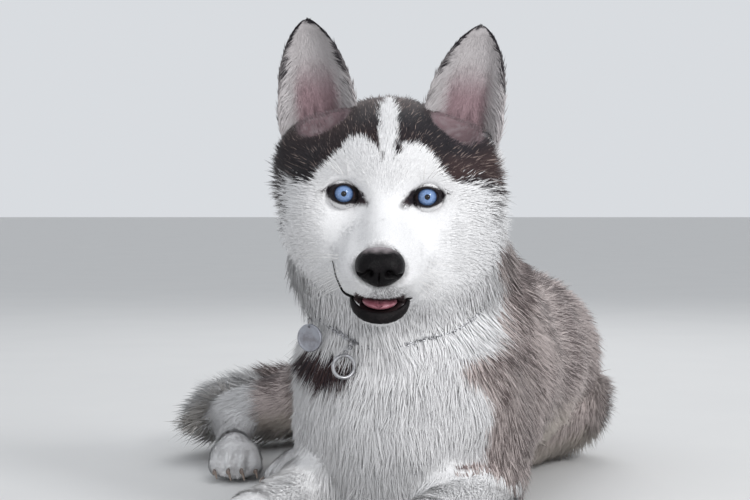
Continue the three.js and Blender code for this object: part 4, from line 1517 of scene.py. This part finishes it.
def build_chain(name, path, closed, material):
    """A slim chain of links along a path."""
    line = bpy.data.meshes.new("collar line")
    count = len(path)
    edges = [(index, (index + 1) % count) for index in range(count if closed else count - 1)]
    line.from_pydata(path.tolist(), edges, [])
    carrier = bpy.data.objects.new("collar line", line)
    bpy.context.scene.collection.objects.link(carrier)
    modifier = carrier.modifiers.new("links", "NODES")
    modifier.node_group = chain_tree(material)
    graph = bpy.context.evaluated_depsgraph_get()
    mesh = bpy.data.meshes.new_from_object(carrier.evaluated_get(graph))
    mesh.name = name
    carrier.modifiers.remove(modifier)
    bpy.data.objects.remove(carrier)
    chain = bpy.data.objects.new(name, mesh)
    bpy.context.scene.collection.objects.link(chain)
    mesh.polygons.foreach_set("use_smooth", np.ones(len(mesh.polygons), bool))
    return chain


def hoop(name, centre, right, raised, radius, wire, material, steps=56, around=12):
    """A round wire ring."""
    angles = full_turn(steps)
    out = np.cos(angles)[:, None] * right + np.sin(angles)[:, None] * raised
    normal = np.cross(right, raised)
    turns = full_turn(around)
    rings = (
        centre + out[:, None] * radius
        + out[:, None] * (wire * np.cos(turns))[None, :, None]
        + normal * (wire * np.sin(turns))[None, :, None]
    )
    return hoop_piece(name, rings, material)


UP = np.array([0, 0, 1.0])
TAG_TURN = -0.5
TAG_FRONT = np.array([math.sin(TAG_TURN), -math.cos(TAG_TURN), 0.0])
END_RING_TURN = 0.35
# The edge of the tag from the middle of its front to the middle of its back: radius and height
TAG_PROFILE = (
    (0.4, 0.62), (4, 0.62), (7.6, 0.62), (8.2, 0.68), (8.6, 1.0), (9.3, 1.05), (9.8, 0.7),
    (10.0, 0.2), (10.0, -0.4), (9.7, -0.9), (9.0, -1.0), (4, -1.0), (0.4, -1.0),
)


def build_tag_ring(material):
    centre = middle_of("tag") + UP * 10.6 * MM
    return hoop("tag_ring", centre, TAG_FRONT, UP, 3.2 * MM, 0.45 * MM, material, 32, 8)


def build_end_ring(material):
    right = np.array([math.cos(END_RING_TURN), math.sin(END_RING_TURN), 0])
    return hoop("end_ring", middle_of("collar_end_ring"), right, UP, 7.8 * MM, 1.3 * MM, material)


def build_tag(material):
    """A plain disc with a rounded rim and a raised border."""
    right = np.array([math.cos(TAG_TURN), math.sin(TAG_TURN), 0.0])
    around = full_turn(64)
    ring = np.cos(around)[:, None] * right + np.sin(around)[:, None] * UP
    rings = []
    for radius, height in TAG_PROFILE:
        rings.append(middle_of("tag") + ring * radius * MM + TAG_FRONT * height * MM)
    return lofted("bare_tag", rings, material)


# Materials

def coat_finish(name, roughness, skin_bump):
    """Hair or skin, coloured by the markings painted on its points."""
    finish = Finish(name)
    painted = finish.node("ShaderNodeAttribute", {"attribute_name": "coat_colour"})
    grain = finish.noise(2200.0, 2.0)
    shade = finish.node("ShaderNodeMapRange", None, grain, 0.3, 0.7, 0.84, 1.1)
    tone = finish.node("ShaderNodeCombineColor", None, shade, shade, shade)
    colour = finish.mix(1.0, painted, tone, "MULTIPLY")
    settings = {"Base_Color": colour, "Roughness": roughness, "Specular_IOR_Level": 0.18}
    if skin_bump:
        settings["Normal"] = finish.bump(finish.noise(900.0, 4.0), 0.4, 0.0006)
    else:
        settings["Sheen_Weight"] = 0.1
        settings["Sheen_Roughness"] = 0.5
    return finish.done(**settings)


def eye_finish():
    """An eye: pupil, pale blue iris with fine rays, dark limbus and dark sclera."""
    finish = Finish("eye")
    map_point = finish.node("ShaderNodeUVMap", {"uv_map": "iris"})
    centred = finish.node("ShaderNodeVectorMath", {"operation": "SUBTRACT"}, map_point, (0.5, 0.5, 0.0))
    length = finish.node("ShaderNodeVectorMath", {"operation": "LENGTH"}, centred, output=1)
    radius = length * 24.0
    heading = finish.node("ShaderNodeVectorMath", {"operation": "NORMALIZE"}, centred)
    scaled = finish.node("ShaderNodeVectorMath", {"operation": "SCALE"}, centred, Scale=1.2)
    spread = finish.node("ShaderNodeVectorMath", {"operation": "ADD"}, heading, scaled)
    rays = finish.noise(15.0, 3.0, 0.6, spread)
    blotches = finish.noise(4.0, 2.0, 0.5, spread)
    inner = finish.mix(rays.step(0.38, 0.66), (0.10, 0.18, 0.36), (0.24, 0.35, 0.58))
    outer = finish.mix(rays.step(0.35, 0.7), (0.045, 0.09, 0.20), (0.12, 0.20, 0.38))
    iris = finish.mix(radius.step(3.4, 5.8), inner, outer)
    iris = finish.mix(blotches.step(0.45, 0.75) * 0.35, iris, (0.30, 0.38, 0.48))
    iris = finish.mix(radius.step(5.4, 6.5), iris, (0.012, 0.02, 0.045))
    colour = finish.mix(radius.step(1.6, 1.95), (0.002, 0.002, 0.003), iris)
    veins = finish.noise(60.0, 4.0, 0.6, map_point)
    sclera = finish.mix(veins.step(0.4, 0.7), (0.030, 0.022, 0.022), (0.075, 0.055, 0.055))
    colour = finish.mix(radius.step(6.4, 7.0), colour, sclera)
    relief = finish.bump(rays * radius.step(2.3, 3.0), 0.15, 0.0002)
    return finish.done(
        Base_Color=colour, Roughness=0.5, Specular_IOR_Level=0.05, Normal=relief,
        Coat_Weight=1.0, Coat_Roughness=0.03, Coat_IOR=1.4)


def pebbled_finish(name, dark, pale, cell, roughness, top=None):
    """Leathery bare skin with small round pebbles, and, where top is given, a pale patch of painted sheen
    over the top, found by height.
    """
    finish = Finish(name)
    place = finish.place()
    cells = finish.node("ShaderNodeTexVoronoi", {"feature": "F1"}, Vector=place, Scale=cell)
    mottle = finish.noise(260.0, 3.0)
    colour = finish.mix(mottle.step(0.4, 0.75), dark, pale)
    colour = finish.mix(cells.step(0.35, 0.75) * 0.6, colour, tuple(0.4 * part for part in dark))
    rough = finish.node("ShaderNodeMapRange", None, mottle, 0.3, 0.7, roughness - 0.08, roughness + 0.1)
    # Painted sheen: the top of the piece, found by height, is paled towards the given colour as if light
    # fell on it.
    if top is not None:
        height = finish.node("ShaderNodeSeparateXYZ", None, place, output=2)
        painted_sheen = (height + (mottle - 0.5) * 0.004).step(top[0], top[1])
        colour = finish.mix(painted_sheen * 0.9, colour, top[2])
        rough = rough + painted_sheen * 0.2
    relief = finish.bump(cells + mottle * 0.6, 0.5, 0.0005)
    return finish.done(Base_Color=colour, Roughness=rough, Specular_IOR_Level=0.12, Normal=relief)


def tongue_finish():
    finish = Finish("tongue")
    bumps = finish.node("ShaderNodeTexVoronoi", {"feature": "F1"}, Vector=finish.place(), Scale=1300.0)
    mottle = finish.noise(300.0, 3.0)
    colour = finish.mix(mottle.step(0.35, 0.7), (0.30, 0.10, 0.13), (0.46, 0.20, 0.24))
    colour = finish.mix(bumps.step(0.2, 0.6) * 0.4, colour, (0.25, 0.07, 0.09))
    return finish.done(
        Base_Color=colour, Roughness=0.38, Specular_IOR_Level=0.5, Coat_Weight=0.35, Coat_Roughness=0.2,
        Normal=finish.bump(bumps, 0.5, 0.0004))


def claw_finish():
    finish = Finish("claw_horn")
    place = finish.place()
    stretched = finish.node("ShaderNodeMapping", None, place, Scale=(1.0, 0.25, 1.0))
    streaks = finish.noise(700.0, 3.0, 0.6, stretched)
    height = finish.node("ShaderNodeSeparateXYZ", None, place, output=2)
    colour = finish.mix(streaks.step(0.35, 0.7), (0.075, 0.052, 0.045), (0.24, 0.18, 0.15))
    colour = finish.mix(height.step(0.012, 0.004) * 0.6, colour, (0.42, 0.34, 0.28))
    return finish.done(
        Base_Color=colour, Roughness=0.42, Specular_IOR_Level=0.5, Normal=finish.bump(streaks, 0.3, 0.0003))


def metal_finish(name, pale, dull, roughness, scratch_size):
    """Metal with fine scratches and a duller film in patches."""
    finish = Finish(name)
    scratches = finish.noise(scratch_size, 5.0, 0.7)
    film = finish.noise(scratch_size * 0.12, 3.0, 0.6)
    colour = finish.mix(film.step(0.42, 0.68), pale, dull)
    colour = finish.mix(scratches.step(0.55, 0.72) * 0.35, colour, tuple(0.5 * part for part in dull))
    rough = finish.node("ShaderNodeMapRange", None, film, 0.3, 0.7, roughness, roughness + 0.2)
    return finish.done(
        Base_Color=colour, Metallic=1.0, Roughness=rough, Normal=finish.bump(scratches, 0.25, 0.0002))


def whisker_finish():
    finish = Finish("whisker")
    grain = finish.noise(500.0, 2.0)
    return finish.done(Base_Color=finish.mix(grain, (0.62, 0.60, 0.58), (0.86, 0.85, 0.84)), Roughness=0.35)


def floor_finish():
    finish = Finish("studio_floor")
    grain = finish.noise(6.0, 3.0)
    colour = finish.mix(grain, (0.60, 0.60, 0.60), (0.64, 0.64, 0.635))
    return finish.done(Base_Color=colour, Roughness=0.75, Specular_IOR_Level=0.2)


# The pup

def settle(piece, slot, *nodes):
    """Puts a piece on the body and hides the nodes that it stands for; its slot is not used."""
    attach(piece, BODY)
    if nodes:
        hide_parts(*nodes)


def make_skin(skin, ears, material):
    """Joins the skin and both ears in one piece, painted with the markings."""
    rng = np.random.default_rng(7)
    grain = rng.uniform(0, 1, len(skin["points"]))
    colour, _ = markings(skin["points"], skin["normals"], skin["region"], grain)
    head = to_head(skin["points"])
    colour[in_mouth(head, skin["normals"], skin["region"])] = (0.035, 0.018, 0.02)
    colour[eye_reach(head) < 1.12] = BLACK
    points, triangles, colours = [skin["points"]], [skin["triangles"]], [0.95 * colour]
    start = len(skin["points"])
    for ear in ears:
        points.append(ear["points"])
        triangles.append(ear["triangles"] + start)
        grain = rng.uniform(0, 1, len(ear["points"]))
        colours.append(0.9 * ear_colours(ear["places"], ear["points"], grain))
        start += len(ear["points"])
    piece = new_piece("skin", np.vstack(points), np.vstack(triangles), material)
    paint(piece, "coat_colour", np.vstack(colours))
    settle(piece, "coat_white", *FLESH, *EARS)


def coat_groups(roots):
    """The coat piece that each root belongs to."""
    region, head = roots["region"], to_head(roots["points"])
    _, head_y, head_z = head.T
    on_head = np.isin(region, HEAD_REGIONS)
    groups = {
        "coat_muzzle": on_head & (head_y < -12),
        "coat_brow": on_head & (head_y >= -12) & (head_y < 20),
        "coat_crown": on_head & (head_y >= 20) & (head_z > 8),
        "coat_cheeks": on_head & (head_y >= 20) & (head_z <= 8),
    }
    plain = {
        "coat_neck": ["neck"],
        "coat_chest": ["chest", "upper_arm_right", "upper_arm_left"],
        "coat_barrel": ["barrel"],
        "coat_hips": ["hips"],
        "coat_foreleg_right": ["forearm_right", "forepaw_right"],
        "coat_foreleg_left": ["forearm_left", "forepaw_left"],
        "coat_thighs": ["thigh_left", "thigh_right"],
        "coat_shins": ["shin_left", "shin_right"],
        "coat_hind_feet": ["hind_foot_left", "hind_foot_right", "hindpaw_left", "hindpaw_right"],
        "coat_tail": ["tail_root", "tail_middle", "tail_tip"],
    }
    for name, regions in plain.items():
        groups[name] = np.isin(region, [REGION[part] for part in regions])
    return groups


def make_coat(skin, ears, material):
    """Grows the coat over the skin, in pieces that each stay small enough to handle."""
    rng = np.random.default_rng(20)
    head, ground = to_head(skin["points"]), to_ground(skin["points"])
    on_head = np.isin(skin["region"], HEAD_REGIONS)
    below = smooth(0.3, 0.8, -skin["normals"][:, 2]) * (ground[:, 2] < 60)
    fullness = np.where(on_head, 1.25, 0.96 - 0.5 * below)
    fullness = np.where(skin["length"] < 6, np.minimum(fullness, 1.27 * on_head + 0.82), fullness)
    fullness *= np.where(on_head & (bowl_reach(head) < 1.14) & (head[:, 2] < 64), 0.75, 1.0)
    fullness *= 1 - skin["bare"]
    roots = scatter(skin, rng, fullness)
    roots = keep_roots(roots, ~bare_skin(roots))
    for number, (name, chosen) in enumerate(coat_groups(roots).items()):
        group = keep_roots(roots, chosen)
        splits = math.ceil(len(group["points"]) / MOST_TUFTS)
        order = np.argsort(np.argsort(group["points"][:, 0])) * splits // max(len(group["points"]), 1)
        for split in range(splits):
            part = keep_roots(group, order == split)
            cells = [region for region in REGION if (part["region"] == REGION[region]).any()]
            piece = grow(
                name if splits == 1 else f"{name}_{split + 1}", part, coat_tones(part, rng),
                100 + 10 * number + split, unwrap(part["points"], part["region"], cells), material)
            grey = np.isin(part["region"], GREY_REGIONS).mean() > 0.5
            settle(piece, "coat_grey" if grey else "coat_white")
    for side, ear in zip(SIDES, ears):
        _, spread, front = ear["places"].T
        fullness = np.where(front > 0.5, 0.30 + 0.6 * smooth(0.35, 0.85, np.abs(spread)), 0.7)
        hair = scatter(ear, rng, fullness)
        colour = ear_colours(hair["places"], hair["points"], hair["grain"])
        share, spread, front = hair["places"].T
        across = 0.01 + 0.48 * (spread + 1) / 2 + 0.5 * (front > 0.5)
        layout = (across, 0.005 + 0.985 * share)
        piece = grow(f"coat_ear_{side}", hair, (colour, colour), 300 + int(SIDES[side]), layout, material)
        settle(piece, "coat_grey")


def make_face(tree):
    """Eyes, lids, nose, lips, tongue and whiskers, fitted to the surface of the skin."""
    eye = eye_finish()
    rim = pebbled_finish("eyelid", (0.012, 0.010, 0.012), (0.03, 0.025, 0.027), 1900.0, 0.4)
    for name, side in SIDES.items():
        settle(build_eyeball(f"eyeball_{name}", side, eye), "eyes", f"eye_{name}")
        settle(build_lids(f"eyelids_{name}", side, tree, rim), "nose_leather")
    # The nose leather is paled over its top with painted sheen.
    nose_top = float(from_head([[0, -62, -18]])[0, 2])
    leather = pebbled_finish(
        "nose_leather", (0.002, 0.0015, 0.002), (0.007, 0.005, 0.006), 1150.0, 0.36,
        (nose_top - 0.004, nose_top + 0.003, (0.42, 0.37, 0.385)))
    lip = pebbled_finish("lip_leather", (0.004, 0.003, 0.0035), (0.014, 0.010, 0.011), 1500.0, 0.42)
    settle(build_nose(leather), "nose_leather", "nose")
    settle(build_lower_lip(lip), "nose_leather")
    for side in SIDES.values():
        settle(build_upper_lip(side, tree, lip), "nose_leather")
    settle(build_tongue(tongue_finish()), "tongue", "tongue")
    settle(build_whiskers(whisker_finish()), "coat_white")


def make_claws():
    horn = claw_finish()
    for node in sorted(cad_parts):
        if node.startswith("claw"):
            way = next(value for key, value in CLAW_WAYS.items() if key in node)
            settle(build_claw(node, way, horn), "claws", node)


def make_collar(tree):
    """The chain, its rings and the tag, laid on the surface of the skin."""
    steel = metal_finish("chain_steel", (0.52, 0.52, 0.54), (0.30, 0.30, 0.31), 0.24, 900.0)
    zinc = metal_finish("tag_metal", (0.38, 0.39, 0.43), (0.26, 0.25, 0.27), 0.42, 700.0)
    path = collar_path(tree)
    settle(build_chain("chain_collar", path, True, steel), "chain_steel", "collar")
    ring_top = middle_of("collar_end_ring") + np.array([0, 0, 8 * MM])
    start = path[np.argmin(np.linalg.norm(path - ring_top, axis=1))]
    drop = start + (ring_top - start) * np.linspace(0, 1, 8)[:, None]
    settle(build_chain("chain_drop", drop, False, steel), "chain_steel")
    settle(build_end_ring(steel), "chain_steel", "collar_end_ring")
    settle(build_tag(zinc), "tag_metal", "tag")
    settle(build_tag_ring(steel), "chain_steel")


# The studio

def make_studio():
    floor = new_piece(
        "floor", [(-20, -20, 0), (20, -20, 0), (20, 20, 0), (-20, 20, 0)], [(0, 1, 2, 3)], floor_finish())
    world = bpy.data.worlds.new("studio")
    bpy.context.scene.world = world
    world.use_nodes = True
    background = next(node for node in world.node_tree.nodes if node.type == "BACKGROUND")
    background.inputs[0].default_value = (0.90, 0.93, 0.97, 1)
    background.inputs[1].default_value = 0.77
    target = from_ground([20, 60, 140])
    for name, spot, size, power in (
        ("key", (1100, -1250, 1250), 0.45, 21),
        ("catch", (340, -1120, 440), 0.14, 2.2),
        ("fill", (-500, -1900, 500), 1.4, 4),
        ("back", (300, 1700, 1600), 1.2, 12),
    ):
        light = bpy.data.lights.new(name, "AREA")
        light.energy = power
        light.size = size
        lamp = bpy.data.objects.new(name, light)
        bpy.context.scene.collection.objects.link(lamp)
        lamp.location = from_ground(spot)
        lamp.rotation_euler = (Vector(target) - lamp.location).to_track_quat("-Z", "Y").to_euler()
    camera = bpy.data.cameras.new("camera")
    camera.lens = VIEW_LENS
    camera.sensor_width = SENSOR
    camera.clip_start = 0.05
    viewer = bpy.data.objects.new("camera", camera)
    bpy.context.scene.collection.objects.link(viewer)
    viewer.location = from_ground([0, -VIEW_DISTANCE, VIEW_HEIGHT])
    viewer.rotation_euler = (math.pi / 2 - VIEW_PITCH, 0, 0)
    bpy.context.scene.camera = viewer
    bpy.context.scene.view_settings.view_transform = "Standard"


hair, hide = coat_finish("coat", 0.72, False), coat_finish("skin", 0.8, True)
skin = build_skin()
ears = [build_ear(SIDES[side], REGION[f"ear_{side}"]) for side in SIDES]
make_skin(skin, ears, hide)
make_coat(skin, ears, hair)
surface = BVHTree.FromPolygons(skin["points"].tolist(), skin["triangles"].tolist())
make_face(surface)
make_claws()
make_collar(surface)
make_studio()

bpy.context.view_layer.update()
